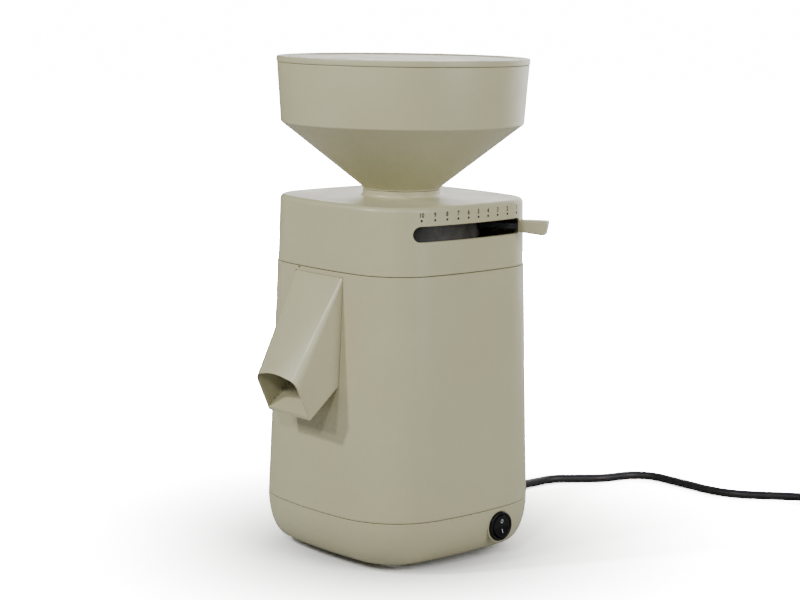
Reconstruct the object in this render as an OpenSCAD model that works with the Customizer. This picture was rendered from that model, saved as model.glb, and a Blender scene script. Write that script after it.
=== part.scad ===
// Electric grain mill for the kitchen table: a motor housing with a stone grinding
// head, a round hopper with a lid, a flour spout and a lever that sets the fineness.
// Millimetres, +Z up. The origin is on the mill axis, on the surface that the feet
// stand on. The spout points along -Y and the lever comes out of the +X side.

/* [Feet and base] */
// Height of the rubber feet under the base
foot_height = 5.5; // [4:0.5:9]
// Radius of each foot
foot_radius = 8.6; // [7.6:0.2:9.4]
// Distance of the feet and posts from the mill axis along X and Y
foot_reach = 47; // [44:1:49]
// Height of the base shell
base_height = 34; // [31:1:46]
// How far the underside is drawn in from the widest outline
base_tuck = 18; // [10:1:19]
// Wall of the base shell
base_wall = 3; // [2.4:0.2:4]
// Radius of the vented bottom plate
plate_radius = 53; // [48:1:54]
// Thickness of the bottom plate
plate_thick = 2.6; // [2:0.2:3.2]

/* [Housing] */
// Width of the housing at the base seam, without the bulge
body_low_width = 170.4; // [166:0.4:180]
// Width of the housing at the head seam
body_top_width = 155.6; // [153:0.4:160]
// Corner radius at the base seam
body_low_corner = 47.2; // [42:0.4:54]
// Corner radius at the head seam
body_top_corner = 37.4; // [34:0.4:44]
// How far each side bulges in its middle
side_bulge = 2.3; // [1:0.1:4]
// Height of the housing shell
body_height = 177.4; // [172:0.2:192]
// Wall of the housing shell and of the head
body_wall = 3; // [2.4:0.2:3.4]
// Open seam between two shells
seam = 0.5; // [0.4:0.1:1]

/* [Head] */
// Height of the head cover
head_height = 49; // [47:0.5:58]
// Width of the head cover at its lower edge
head_low_width = 154.4; // [152:0.4:156]
// Width of the head cover at its top edge
head_top_width = 151.4; // [148:0.4:154]
// Rounding of the head's top edge
head_edge = 3.5; // [2:0.5:6]
// Height of the collar that carries the hopper
collar_height = 5; // [3:0.5:10]

/* [Hopper and lid] */
// Outer radius of the hopper at its rim
hopper_radius = 93.6; // [85:0.5:105]
// Height of the upright band below the rim
band_height = 43.7; // [30:0.5:60]
// How much the band narrows towards the cone
band_taper = 3; // [1:0.5:6]
// Height of the cone
cone_height = 49.4; // [40:0.5:70]
// Outer radius where the cone meets the neck
neck_radius = 28.8; // [27:0.2:32]
// Wall of the hopper
hopper_wall = 2.6; // [2:0.2:3]
// Inner radius of the throat that the grain falls through
throat_radius = 22.5; // [20:0.5:23]
// Thickness of the lid at its rim
lid_thick = 4.2; // [3:0.2:8]
// How far the lid reaches past the hopper's rim
lid_overhang = 0.4; // [0:0.2:3]

/* [Flour spout] */
// Half of the spout's width at the housing
spout_half = 27; // [23:0.5:28]
// Height of the spout's root on the housing
spout_drop = 80; // [72:1:84]
// Distance from the top of the housing down to the spout
spout_below_seam = 3.4; // [2:0.2:8]
// How far the lower lip stands out from the housing
lip_reach = 22; // [14:1:32]
// How far the lower lip lies below the root
lip_drop = 21.2; // [12:1:30]
// Height of the mouth, measured along its plane
mouth_height = 35.5; // [32:0.5:42]
// How far the mouth's plane leans outward
mouth_lean = 25; // [15:1:32]
// Half of the mouth's width at the lip
mouth_half = 24.2; // [20:0.2:25]
// Wall of the spout
spout_wall = 2; // [1.6:0.1:2.4]

/* [Lever and scale] */
// Angle of the lever at the finest setting, from +X
lever_angle = 32.4; // [28:0.2:33]
// Height of the lever above the lower edge of the head
lever_rise = 29.8; // [29:0.2:32]
// Height of the slot
slot_height = 11.2; // [10.8:0.2:12]
// Half of the slot's length
slot_half = 53.2; // [53:0.1:56]
// Radius at which the grip starts
grip_start = 90.5; // [90.5:0.5:98]
// Length of the grip
grip_length = 22; // [18:1:40]
// Width of the grip
grip_width = 13; // [9:0.5:15]
// Height of the grip at its inner end
grip_height = 9.2; // [7:0.2:10]
// Height that the grip gains towards its tip
grip_flare = 1.4; // [0:0.2:3]
// Width of the steel arm
arm_width = 5; // [4:0.2:5.6]
// Thickness of the steel arm
arm_thick = 4; // [3:0.2:4.4]

/* [Grinding set] */
// Radius of both millstones
stone_radius = 45; // [42:0.5:46]
// Thickness of each millstone
stone_thick = 13; // [10:0.5:13.5]
// Radius of the eye in the upper stone
eye_radius = 19; // [16:0.5:20]
// Gap between the stones at the finest setting
stone_gap = 0.4; // [0.3:0.1:1]
// Depth of the furrows cut in both stones
furrow_depth = 0.8; // [0.4:0.1:1.4]
// Number of furrows in each stone
furrow_count = 8; // [6:1:12]
// Inner radius of the milling chamber
chamber_radius = 52; // [51:0.5:53]
// Wall of the milling chamber
chamber_wall = 4; // [3:0.5:4.5]
// Thickness of the chamber's floor
chamber_floor = 4; // [3.5:0.5:5]
// Height of the sweeper vanes under the lower stone
vane_height = 7; // [5:0.5:8]
// Thickness of the stone carriers
carrier_thick = 4; // [3:0.5:4.5]

/* [Motor] */
// Outer radius of the motor
motor_radius = 55; // [54.5:0.5:56.5]
// Length of the laminated core
stator_length = 60; // [50:1:62]
// Height of each end bell
bell_height = 34; // [33:0.5:35]
// Radius of the motor shaft
shaft_radius = 7.5; // [7:0.1:7.6]
// Outer radius of both ball bearings
bearing_radius = 17.5; // [16:0.5:19]
// Width of both ball bearings
bearing_width = 11; // [9:0.5:12]
// Radius of the rotor
rotor_radius = 33; // [30:0.5:34]
// Air gap between rotor and core
air_gap = 0.3; // [0.3:0.05:0.6]
// Height of the rubber mounts under the motor
rubber_height = 8; // [6:0.5:10]
// Radius of the cooling fan
fan_radius = 43; // [38:0.5:44]
// Number of fan blades
fan_blades = 9; // [7:1:11]
// Air on both sides of the run capacitor, towards the motor and towards the housing
capacitor_air = 4; // [3:0.5:6]
// Length of the run capacitor
capacitor_length = 70; // [55:1:75]

/* [Switch] */
// Distance of the switch from the mill axis along Y
switch_offset = 26; // [22:1:28]
// Height of the switch above the underside of the base
switch_rise = 20; // [18.5:0.5:20.5]
// Radius of the switch's round bezel
bezel_radius = 11.3; // [10.9:0.1:11.8]
// Radius of the round hole that the switch is pressed into
switch_hole_radius = 10.1; // [9.6:0.1:10.3]
// Angle to which the rocker tips
rocker_tip = 10; // [8:1:12]

/* [Cord] */
// Diameter of the mains cord
cord_d = 7; // [6:0.1:7.2]
// Height of the cord's exit above the underside of the base
cord_exit_rise = 12.5; // [12:0.5:14]
// Length of the bend relief outside the housing
relief_length = 34; // [30:1:38]
// Mean radius of the outermost loop of the put-away coil
coil_radius = 46; // [44:0.5:48]
// Distance between two loops of the coil
loop_pitch = 7.8; // [7.8:0.1:8.4]
// Radius of the mains plug
plug_radius = 18.6; // [17:0.2:19]

/* [Fits] */
// Air between a piece that lifts off and its seat
lift_gap = 0.3; // [0.2:0.1:0.5]
// Radial clearance of turning and sliding fits
run_gap = 0.08; // [0.04:0.01:0.1]
// Radial clearance of pieces that are pressed or screwed in place
set_gap = 0.06; // [0.04:0.01:0.1]

/* [Hidden] */
$fn = 96;
eps = 0.01;
corners = [45, 135, 225, 315];

// Levels, from the table upwards
base_z = foot_height;
base_top = base_z + base_height;
body_z = base_top + seam;
body_top = body_z + body_height;
head_z = body_top + seam;
head_top = head_z + head_height;
collar_top = head_top + collar_height;
neck_z = collar_top + lift_gap;
band_z = neck_z + cone_height;
rim_z = band_z + band_height;
lid_z = rim_z + lift_gap;
lid_top = lid_z + lid_thick;

// Levels of the grinding set, which hangs from the lever's height
lever_z = head_z + lever_rise;
ring_low = lever_z - 9.4;
ring_high = lever_z + 4.5;
carrier_top = ring_low - 2.4;
upper_stone_top = carrier_top - 9.5;
upper_stone_z = upper_stone_top - stone_thick;
lower_stone_top = upper_stone_z - stone_gap;
lower_stone_z = lower_stone_top - stone_thick;
vane_z = lower_stone_z - carrier_thick - vane_height;
chamber_bottom = vane_z - 1.2;
chamber_z = chamber_bottom - chamber_floor;
rim_seat = ring_low - 0.3;
funnel_top = ring_high - 2;
spigot_z = funnel_top + 3;

// Levels of the motor, which carries the chamber on its upper end bell
core_top = chamber_z - bell_height;
core_z = core_top - stator_length;
motor_z = core_z - bell_height;
post_top = motor_z - rubber_height;
shaft_top = lower_stone_z + 9;
fan_top = motor_z - 2;

// Radii that follow from others
skirt_radius = chamber_radius - run_gap;
carrier_radius = skirt_radius - 3.7;
ring_radius = chamber_radius + chamber_wall + 3;
spigot_radius = throat_radius + 3.2;
collar_bore = spigot_radius + lift_gap;
collar_radius = max(neck_radius + 0.2, collar_bore + 2.4);
core_bore = rotor_radius + air_gap;
winding_radius = motor_radius - 10;
bolt_ring = motor_radius - 5;
bearing_bore = shaft_radius + set_gap;
bearing_seat = bearing_radius + set_gap;
hub_radius = shaft_radius + 6.5;
tip_radius = shaft_radius - 1.5;
post_radius = 7.4;
boss_radius = 5;
boss_reach = foot_reach + 9.6;

// Standard screws
m4 = 2;
m4_head = 3.6;
m3 = 1.5;
m3_head = 2.8;

function lerp(a, b, t) = a + (b - a) * t;
function soft(t) = t * t * (3 - 2 * t);

// ---- Outlines of the housing: squares with bulged sides and round corners ----

side_steps = 6;
corner_steps = 12;

function quarter(w, r, s) =
    let (flat = w - r, lean = atan(2 * s / flat), rc = r / (cos(lean) - sin(lean)),
         cx = w - rc * cos(lean), cy = flat - rc * sin(lean))
    concat(
        [for (i = [0:side_steps]) let (y = flat * (2 * i / side_steps - 1))
            [w + s * (1 - pow(y / flat, 2)), y]],
        [for (i = [1:corner_steps - 1]) let (a = lerp(lean, 90 - lean, i / corner_steps))
            [cx + rc * cos(a), cy + rc * sin(a)]]);

function turned(p, a) = [p[0] * cos(a) - p[1] * sin(a), p[0] * sin(a) + p[1] * cos(a)];
function ring(w, r, s, z) =
    [for (q = [0:3]) each [for (p = quarter(w, r, s)) let (t = turned(p, 90 * q)) [t[0], t[1], z]]];
function round_ring(radius, z) = ring(radius, radius - 1, 0, z);

// Distance of the wall from the axis, at the given place along the side
function side_reach(w, r, along) = w + side_bulge * (1 - pow(along / (w - r), 2));

function body_half(z) = lerp(body_low_width, body_top_width, (z - body_z) / body_height) / 2;
function body_corner(z) = lerp(body_low_corner, body_top_corner, (z - body_z) / body_height);
function body_ring(z, inset) = ring(body_half(z) - inset, body_corner(z) - inset, side_bulge, z);
function wall_y(z, x) = side_reach(body_half(z), body_corner(z), x);

function head_half(z) = lerp(head_low_width, head_top_width, (z - head_z) / head_height) / 2;
function head_corner(z) = body_top_corner - 0.6 - 1.6 * (z - head_z) / head_height;
function head_ring(z, inset) = ring(head_half(z) - inset, head_corner(z) - inset, side_bulge, z);

// The base is drawn in along a quarter of an ellipse: angle 0 at the seam, 90 below
function base_half(a) = body_low_width / 2 - base_tuck * (1 - cos(a));
function base_corner(a) = body_low_corner - 1.25 * base_tuck * (1 - cos(a));
function base_level(a, floor) = base_top - (base_height - floor) * sin(a);
function base_ring(a, inset, floor) =
    ring(base_half(a) - inset, base_corner(a) - inset, side_bulge, base_level(a, floor));
function base_angle(z) = asin((base_top - z) / base_height);
switch_z = base_z + switch_rise;
switch_angle = base_angle(switch_z);
pivot_x = side_reach(base_half(switch_angle), base_corner(switch_angle), switch_offset) + 2;
pad_face = pivot_x - 0.8;
land_radius = bezel_radius + 0.9;

// A closed skin through rings that run up the outside and back down the inside
module wall_skin(rings) {
    n = len(rings[0]);
    m = len(rings);
    polyhedron(
        points = [for (r = rings) each r],
        faces = [for (i = [0:m - 1]) each [for (j = [0:n - 1])
            let (a = i * n + j, b = ((i + 1) % m) * n + j,
                 c = ((i + 1) % m) * n + (j + 1) % n, d = i * n + (j + 1) % n)
            each [[a, b, c], [a, c, d]]]],
        convexity = 6);
}

// ---- Small shapes that repeat ----

module tube(outer, inner, z0, z1) {
    rotate_extrude() translate([inner, z0]) square([outer - inner, z1 - z0]);
}

module rod(radius, z0, z1) {
    translate([0, 0, z0]) cylinder(r = radius, h = z1 - z0);
}

module at_corners(reach) {
    for (a = corners) translate([reach * sqrt(2) * cos(a), reach * sqrt(2) * sin(a), 0]) children();
}

module along_x(x, y, z) {
    translate([x, y, z]) rotate([0, 90, 0]) children();
}

module along_y(x, y, z) {
    translate([x, y, z]) rotate([-90, 0, 0]) children();
}

// A screw that is driven upwards, with a round head and a cross recess
module screw_up(radius, head, z0, z1) {
    difference() {
        union() {
            rod(head, z0, z0 + radius * 1.3);
            rod(radius, z0, z1);
        }
        for (a = [0, 90]) rotate([0, 0, a])
            translate([-head * 0.6, -radius * 0.2, z0 - eps]) cube([head * 1.2, radius * 0.4, radius * 0.7]);
    }
}

// A straight slot with round ends, cut along Z
module radial_slot(r0, r1, width, z0, z1) {
    for (x = [r0, r1]) translate([x, 0, z0]) cylinder(d = width, h = z1 - z0, $fn = 24);
    translate([r0, -width / 2, z0]) cube([r1 - r0, width, z1 - z0]);
}

// ---- Base ----

module feet() {
    color([0.86, 0.86, 0.82]) at_corners(foot_reach) rotate_extrude()
        polygon([[0, 0], [foot_radius - 1.4, 0], [foot_radius, 1.4], [foot_radius - 0.4, foot_height],
            [3, foot_height], [3, foot_height + 5], [2.4, foot_height + 6], [0, foot_height + 6]]);
}

plate_seat = plate_radius + 0.3;

module bottom_plate() {
    color([0.16, 0.16, 0.17]) difference() {
        rod(plate_radius, base_z, base_z + plate_thick);
        for (i = [0:23]) rotate([0, 0, 15 * i])
            radial_slot(plate_radius * 0.56, plate_radius * 0.76, 3, base_z - 1, base_z + plate_thick + 1);
        for (i = [0:11]) rotate([0, 0, 30 * i])
            radial_slot(plate_radius * 0.22, plate_radius * 0.44, 3, base_z - 1, base_z + plate_thick + 1);
        at_plate_screws() rod(m3 + 0.2, base_z - 1, base_z + plate_thick + 1);
        at_plate_screws() rod(m3_head + 0.3, base_z - 1, base_z + 1.2);
    }
}

module at_plate_screws() {
    for (a = [0:90:270]) rotate([0, 0, a]) translate([plate_radius - 4, 0, 0]) children();
}

module plate_screws() {
    color([0.6, 0.6, 0.62]) at_plate_screws() screw_up(m3, m3_head, base_z + 1.17 - m3 * 1.3, base_z + 8);
}

module base_shell() {
    floor_z = base_z + base_wall;
    ledge = base_z + plate_thick + 0.1;
    color([0.75, 0.72, 0.63]) difference() {
        union() {
            wall_skin([
                for (a = [90, 80, 69, 58, 47, 36, 25, 13, 0]) base_ring(a, 0, 0),
                for (a = [0, 18, 36, 54, 72, 90]) base_ring(a, base_wall, base_wall),
                round_ring(plate_seat + 1.6, floor_z),
                round_ring(plate_seat + 1.6, base_z)]);
            rotate_extrude() polygon([[plate_seat, base_z], [plate_seat + 3.4, base_z],
                [plate_seat + 3.4, ledge + 3], [plate_radius - 8, ledge + 3], [plate_radius - 8, ledge],
                [plate_seat, ledge]]);
            at_plate_screws() rod(3.4, ledge, ledge + 6);
            at_corners(foot_reach) rod(post_radius, floor_z - 1, post_top);
            for (a = corners) rotate([0, 0, a])
                translate([foot_reach * sqrt(2) + post_radius - 0.6, -1.2, floor_z - 1])
                    cube([(boss_reach - foot_reach) * sqrt(2) - post_radius - boss_radius + 1.2,
                        2.4, base_height * 0.6]);
            at_corners(boss_reach) rod(boss_radius, floor_z - 1, base_top - 5.5);
            switch_pad();
            cord_pad();
        }
        at_corners(foot_reach) rod(3 + 0.05, base_z - 1, base_z + 6.2);
        at_corners(foot_reach) rod(m4 + set_gap, base_z + 9, post_top + 1);
        at_corners(boss_reach) rod(m4 + 0.2, base_z - 1, base_top);
        at_corners(boss_reach) rod(m4_head + 0.5, base_z - 2, base_z + 7);
        at_plate_screws() rod(m3 + set_gap, ledge - 1, ledge + 7);
        along_x(base_half(0) - 40, switch_offset, switch_z) cylinder(r = switch_hole_radius, h = 60);
        along_x(pad_face, switch_offset, switch_z) cylinder(r = land_radius, h = 20);
        along_y(0, base_half(0) - 40, cord_exit_z) cylinder(r = relief_neck + set_gap, h = 60);
        along_y(0, relief_y, cord_exit_z) cylinder(r = relief_neck + 3, h = 20);
        along_y(0, relief_y - 16, cord_exit_z) cylinder(r = relief_neck + 1.4, h = 9.95);
    }
}

// Flat round land that the switch's bezel lies on
module switch_pad() {
    along_x(pad_face - 11.2, switch_offset, switch_z) difference() {
        cylinder(r = land_radius, h = 11.2);
        translate([0, 0, -1]) cylinder(r = switch_hole_radius + 0.02, h = 14);
    }
}

// Flat round land for the flange of the cord's bend relief
module cord_pad() {
    along_y(0, relief_y - 6, cord_exit_z) difference() {
        cylinder(r = relief_neck + 3, h = 6);
        translate([0, 0, -1]) cylinder(r = relief_neck + set_gap, h = 8);
    }
}

module base_screws() {
    color([0.6, 0.6, 0.62]) at_corners(boss_reach) screw_up(m4, m4_head, base_z + 6.95 - m4 * 1.3, body_z + 12);
}

// ---- Housing and head ----

tongue_in = body_wall + 0.9;
tongue_wall = 2;
head_tongue_in = (body_top_width - head_low_width) / 2 + body_wall + 0.5;
boss_span = 16;

module body_shell() {
    low = body_z - 5;
    high = body_top + 4.5;
    color([0.74, 0.71, 0.62]) difference() {
        union() {
            wall_skin([
                body_ring(body_z, 0), body_ring(lerp(body_z, body_top, 0.33), 0),
                body_ring(lerp(body_z, body_top, 0.67), 0), body_ring(body_top, 0),
                body_ring(body_top, head_tongue_in), body_ring(high, head_tongue_in),
                body_ring(high, head_tongue_in + tongue_wall),
                body_ring(body_top - 6, head_tongue_in + tongue_wall),
                body_ring(body_top - 9, body_wall), body_ring(body_z + 8, body_wall),
                body_ring(body_z + 5, tongue_in + tongue_wall),
                body_ring(low, tongue_in + tongue_wall), body_ring(low, tongue_in),
                body_ring(body_z, tongue_in)]);
            screw_bosses(low, body_z + boss_span, body_z + 0.6, body_half(body_z), body_corner(body_z));
            screw_bosses(body_top - boss_span, body_top, body_top - boss_span,
                body_half(body_top), body_corner(body_top));
        }
        at_corners(boss_reach) rod(m4 + set_gap, low - 1, body_z + boss_span + 1);
        at_corners(boss_reach) rod(m4 + 0.2, body_top - boss_span - 1, body_top + 1);
        spout_window();
        along_x(base_half(0) - 40, switch_offset, switch_z) cylinder(r = land_radius + 0.4, h = 60);
        translate([-23.8, -wall_y(body_top, 23) - 1, body_top - 1.5]) cube([2.5, 2.6, 2.5]);
    }
}

// Distance from the axis to the inside of the wall, in a corner
function corner_reach(w, r) = (w - r) * sqrt(2) + r - body_wall;

// Round bosses in the four corners, each tied to the corner by a rib
module screw_bosses(z0, z1, rib_z, w, r) {
    rib_start = boss_reach * sqrt(2) + boss_radius - 0.6;
    at_corners(boss_reach) rod(boss_radius, z0, z1);
    for (a = corners) rotate([0, 0, a]) translate([rib_start, -1.2, rib_z])
        cube([corner_reach(w, r) - rib_start + 0.4, 2.4, z1 - rib_z - 0.4]);
}

// The window that the spout stands in
module spout_window() {
    translate([-spout_half - 0.3, -body_low_width, spout_foot - 0.3])
        cube([2 * spout_half + 0.6, body_low_width - 50, spout_drop + 0.6]);
}

module head_cover() {
    edge = [for (a = [0, 22.5, 45, 67.5, 90]) a];
    color([0.77, 0.74, 0.65]) difference() {
        union() {
            wall_skin([
                head_ring(head_z, 0), head_ring((head_z + head_top) / 2, 0),
                for (a = edge) ring(head_half(head_top - head_edge) - head_edge * (1 - cos(a)),
                    head_corner(head_top) - head_edge * (1 - cos(a)), side_bulge,
                    head_top - head_edge * (1 - sin(a))),
                round_ring(collar_radius - 1.2, head_top),
                round_ring(collar_radius - 1.2, head_top - body_wall),
                head_ring(head_top - body_wall, body_wall + 2),
                head_ring(head_top - body_wall - 2, body_wall),
                head_ring(head_z, body_wall)]);
            rotate_extrude() polygon([[collar_bore, head_top - 14], [collar_radius, head_top - 14],
                [collar_radius, head_top - 1], [collar_radius + 2.4, head_top - 1],
                [collar_radius + 2.4, head_top + 0.4], [collar_radius + 0.8, head_top + 1.2],
                [collar_radius, head_top + 2.4], [collar_radius, collar_top], [collar_bore, collar_top]]);
            screw_bosses(head_z, head_z + boss_span, body_top + 5, head_half(head_z), head_corner(head_z));
        }
        at_corners(boss_reach) rod(m4 + set_gap, head_z - 1, head_z + boss_span - 3);
        for (y = [-1, 1]) along_x(head_half(head_z) - 30, y * (slot_half - slot_height / 2), lever_z)
            cylinder(d = slot_height, h = 60);
        translate([head_half(head_z) - 30, -slot_half + slot_height / 2, lever_z - slot_height / 2])
            cube([60, 2 * slot_half - slot_height, slot_height]);
    }
}

module head_screws() {
    color([0.6, 0.6, 0.62]) at_corners(boss_reach)
        screw_up(m4, m4_head, body_top - boss_span - m4 * 1.3 - 0.05, head_z + boss_span - 4);
}

// ---- Hopper and lid ----

module hopper() {
    band_r = hopper_radius - band_taper;
    step = hopper_wall / cos(atan(cone_height / (band_r - neck_radius)));
    color([0.78, 0.75, 0.66]) rotate_extrude($fn = 128) polygon([
        [spigot_radius, spigot_z], [spigot_radius, neck_z], [neck_radius, neck_z],
        [neck_radius, neck_z + 0.4], [band_r, band_z], [hopper_radius, rim_z],
        [hopper_radius - hopper_wall, rim_z], [band_r - hopper_wall, band_z + 0.6],
        [throat_radius + 0.8, neck_z + (step - 0.8) * 0.7 + 2], [throat_radius, neck_z - 1],
        [throat_radius, spigot_z]]);
}

module hopper_lid() {
    edge_r = hopper_radius + lid_overhang;
    plug_r = hopper_radius - hopper_wall - 0.7;
    color([0.8, 0.77, 0.69]) rotate_extrude($fn = 128) polygon([
        [0, lid_z + 0.4], [plug_r - 2.2, lid_z + 0.4], [plug_r - 2.2, lid_z - 5], [plug_r, lid_z - 5],
        [plug_r + 0.2, lid_z], [edge_r - 0.6, lid_z], [edge_r, lid_z + 0.6], [edge_r, lid_top - 0.9],
        [edge_r - 0.3, lid_top - 0.3], [edge_r - 1, lid_top], [edge_r - 4, lid_top],
        [edge_r - 6.5, lid_top - 1.2], [0, lid_top - 1.2]]);
}

// ---- Flour spout ----

spout_top = body_top - spout_below_seam;
spout_foot = spout_top - spout_drop;
root_high = wall_y(spout_top, spout_half) + 0.3;
root_low = wall_y(spout_foot, 0) + 0.4;
lip_y = root_low + lip_reach;
lip_z = spout_foot - lip_drop;
throat_end = chamber_radius + chamber_wall + 7;

// Places a shape in the plane of the mouth: up is along the plane, from the lip
module in_mouth(x, up, out) {
    translate([0, -lip_y, lip_z]) rotate([mouth_lean, 0, 0]) translate([x, -out, up])
        rotate([90, 0, 0]) children();
}

// The mouth's outline: flat lip, straight sides, a low arch with soft shoulders
module mouth_slice(inset, out) {
    half = mouth_half - inset;
    high = mouth_height - inset;
    soft_r = 4 - inset / 2;
    sagitta = 6;
    arch_r = (half * half + sagitta * sagitta) / (2 * sagitta);
    for (x = [-1, 1]) in_mouth(x * (half - 0.5), inset + 0.5, out) cylinder(r = 0.5, h = 0.1, $fn = 12);
    for (i = [-3:3]) let (x = i / 3 * (half - soft_r))
        in_mouth(x, high - soft_r - (arch_r - sqrt(arch_r * arch_r - x * x)), out)
            cylinder(r = soft_r, h = 0.1, $fn = 24);
}

// The spout's root, where it leaves the housing
module root_slice(inset) {
    linear_x(spout_half - inset) polygon([[root_high, spout_top - inset], [root_low, spout_foot + inset],
        [root_low - 0.6, spout_foot + inset], [root_high - 0.6, spout_top - inset]]);
}

// Extrudes an outline, drawn as distance from the axis towards -Y and height, along X
module linear_x(half) {
    rotate([90, 0, -90]) translate([0, 0, -half]) linear_extrude(2 * half) children();
}

module flour_spout() {
    back = 5 * spout_wall;
    color([0.76, 0.73, 0.64]) difference() {
        union() {
            hull() {
                mouth_slice(0, 0);
                root_slice(0);
            }
            linear_x(spout_half) polygon([[root_high, spout_top], [root_low + 0.4, spout_foot],
                [root_low - 7, spout_foot], [throat_end, chamber_bottom - 2.5], [throat_end, spout_top]]);
            linear_x(spout_half + 4) polygon([
                [wall_y(spout_top - 8, 31) - body_wall - 0.3, spout_top - 8],
                [wall_y(spout_foot + 6, 31) - body_wall - 0.3, spout_foot + 6],
                [wall_y(spout_foot + 6, 31) - body_wall - 2.3, spout_foot + 6],
                [wall_y(spout_top - 8, 31) - body_wall - 2.3, spout_top - 8]]);
        }
        hull() {
            mouth_slice(spout_wall, 0.2);
            root_slice(spout_wall);
        }
        linear_x(spout_half - spout_wall) polygon([[root_high - 0.2, spout_top - spout_wall],
            [root_low - 0.2, spout_foot + spout_wall], [root_low - 5, spout_foot + spout_wall],
            [throat_end - 1, chamber_bottom + 1], [throat_end - 1, spout_top - spout_wall]]);
    }
}

// ---- Lever ----

module at_lever() {
    rotate([0, 0, lever_angle]) translate([0, 0, lever_z]) children();
}

arm_root = ring_radius - 8;

module lever_arm() {
    color([0.2, 0.2, 0.21]) at_lever() difference() {
        translate([arm_root, -arm_width / 2, -arm_thick / 2])
            cube([grip_start + grip_length * 0.6 - arm_root, arm_width, arm_thick]);
        translate([arm_root + 4, 0, -arm_thick]) cylinder(r = m3 + set_gap, h = 2 * arm_thick, $fn = 32);
    }
}

module lever_screw() {
    color([0.6, 0.6, 0.62]) at_lever() translate([arm_root + 4, 0, 0]) rotate([180, 0, 0])
        screw_up(m3 - 0.02, m3_head, -(ring_high - lever_z) - m3 * 1.3 - 0.05, arm_thick / 2 + 3);
}

module lever_grip() {
    // Along the grip: share of its length, share of its width, share of the flare
    stations = [[0, 0.55, 0], [0.34, 0.97, 0.3], [0.86, 1, 1], [1, 0.7, 0.9]];
    edge_r = 0.8;
    color([0.8, 0.77, 0.69]) at_lever() difference() {
        hull() for (st = stations, y = [-1, 1], up = [0, 1])
            translate([grip_start + edge_r + st[0] * (grip_length - 2 * edge_r - (1 - up) * 1.4 * st[2]),
                y * (st[1] * grip_width / 2 - edge_r),
                up == 1 ? grip_height / 2 + 0.3 - edge_r
                        : edge_r - grip_height / 2 + 0.3 - grip_flare * st[2]])
                sphere(r = edge_r, $fn = 16);
        translate([grip_start - 1, -arm_width / 2 - set_gap, -arm_thick / 2 - set_gap])
            cube([grip_length * 0.6 + 1.2, arm_width + 2 * set_gap, arm_thick + 2 * set_gap]);
    }
}

// ---- Grinding set ----

module adjusting_ring() {
    color([0.13, 0.13, 0.14]) difference() {
        rotate_extrude() polygon([
            [carrier_radius + run_gap, upper_stone_top - 1], [skirt_radius, upper_stone_top - 1],
            [skirt_radius, rim_seat - 6], [skirt_radius - 1.6, rim_seat - 6],
            [skirt_radius - 1.6, rim_seat - 3], [skirt_radius, rim_seat - 3], [skirt_radius, ring_low],
            [ring_radius, ring_low], [ring_radius, ring_high], [arm_root, ring_high],
            [arm_root, ring_low + 3], [carrier_radius + run_gap, ring_low + 3]]);
        at_lever() translate([arm_root - 1, -arm_width / 2 - set_gap, -arm_thick / 2 - set_gap])
            cube([ring_radius - arm_root + 2, arm_width + 2 * set_gap, arm_thick + 2 * set_gap]);
        at_lever() translate([arm_root + 4, 0, -arm_thick / 2 - 4]) cylinder(r = m3 + set_gap, h = 20, $fn = 32);
    }
}

// Rubber ring that gives the lever its steady drag
module ring_seal() {
    color([0.1, 0.1, 0.1]) rotate_extrude()
        translate([skirt_radius - 0.85, rim_seat - 4.5]) circle(r = 0.7, $fn = 24);
}

module upper_stone_carrier() {
    color([0.85, 0.84, 0.8]) rotate_extrude() polygon([
        [eye_radius, upper_stone_top], [carrier_radius, upper_stone_top], [carrier_radius, carrier_top],
        [carrier_radius - 3, carrier_top], [carrier_radius - 3, upper_stone_top + carrier_thick],
        [eye_radius + 3, upper_stone_top + carrier_thick], [throat_radius + 4, funnel_top],
        [throat_radius + 1.5, funnel_top], [eye_radius, upper_stone_top + carrier_thick]]);
}

module furrows(z, depth) {
    for (i = [0:furrow_count - 1]) rotate([0, 0, i * 360 / furrow_count])
        translate([eye_radius + 4, 4, z]) cube([stone_radius, 2.4, depth]);
}

module upper_millstone() {
    color([0.72, 0.7, 0.66]) difference() {
        rotate_extrude() polygon([[eye_radius + 10, upper_stone_z], [stone_radius, upper_stone_z],
            [stone_radius, upper_stone_top], [eye_radius, upper_stone_top],
            [eye_radius, upper_stone_z + 5]]);
        furrows(upper_stone_z - 1, furrow_depth + 1);
    }
}

module lower_millstone() {
    color([0.7, 0.68, 0.64]) difference() {
        rotate_extrude() polygon([[hub_radius + 1, lower_stone_z], [stone_radius, lower_stone_z],
            [stone_radius, lower_stone_top], [eye_radius + 8, lower_stone_top],
            [hub_radius + 1, lower_stone_top - 3]]);
        mirror([1, 0, 0]) furrows(lower_stone_top - furrow_depth, furrow_depth + 1);
    }
}

module lower_stone_carrier() {
    color([0.62, 0.62, 0.63]) difference() {
        union() {
            rotate_extrude() polygon([[tip_radius + set_gap, vane_z + 1], [hub_radius, vane_z + 1],
                [hub_radius, lower_stone_z - carrier_thick], [stone_radius + 1, lower_stone_z - carrier_thick],
                [stone_radius + 1, lower_stone_z], [tip_radius + set_gap, lower_stone_z]]);
            for (a = [0:60:300]) rotate([0, 0, a]) translate([hub_radius - 1, -1.5, vane_z])
                cube([stone_radius + 2 - hub_radius, 3, vane_height + 1]);
        }
        rod(tip_radius + set_gap, vane_z - 1, lower_stone_z + 1);
    }
}

module stone_washer() {
    color([0.7, 0.7, 0.72]) tube(hub_radius - 1, tip_radius + set_gap, lower_stone_z + 0.02, lower_stone_z + 2);
}

module stone_nut() {
    color([0.65, 0.65, 0.67]) difference() {
        translate([0, 0, lower_stone_z + 2.02]) cylinder(r = tip_radius * 1.85, h = 5.5, $fn = 6);
        rod(tip_radius + set_gap, lower_stone_z, lower_stone_z + 9);
    }
}

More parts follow.
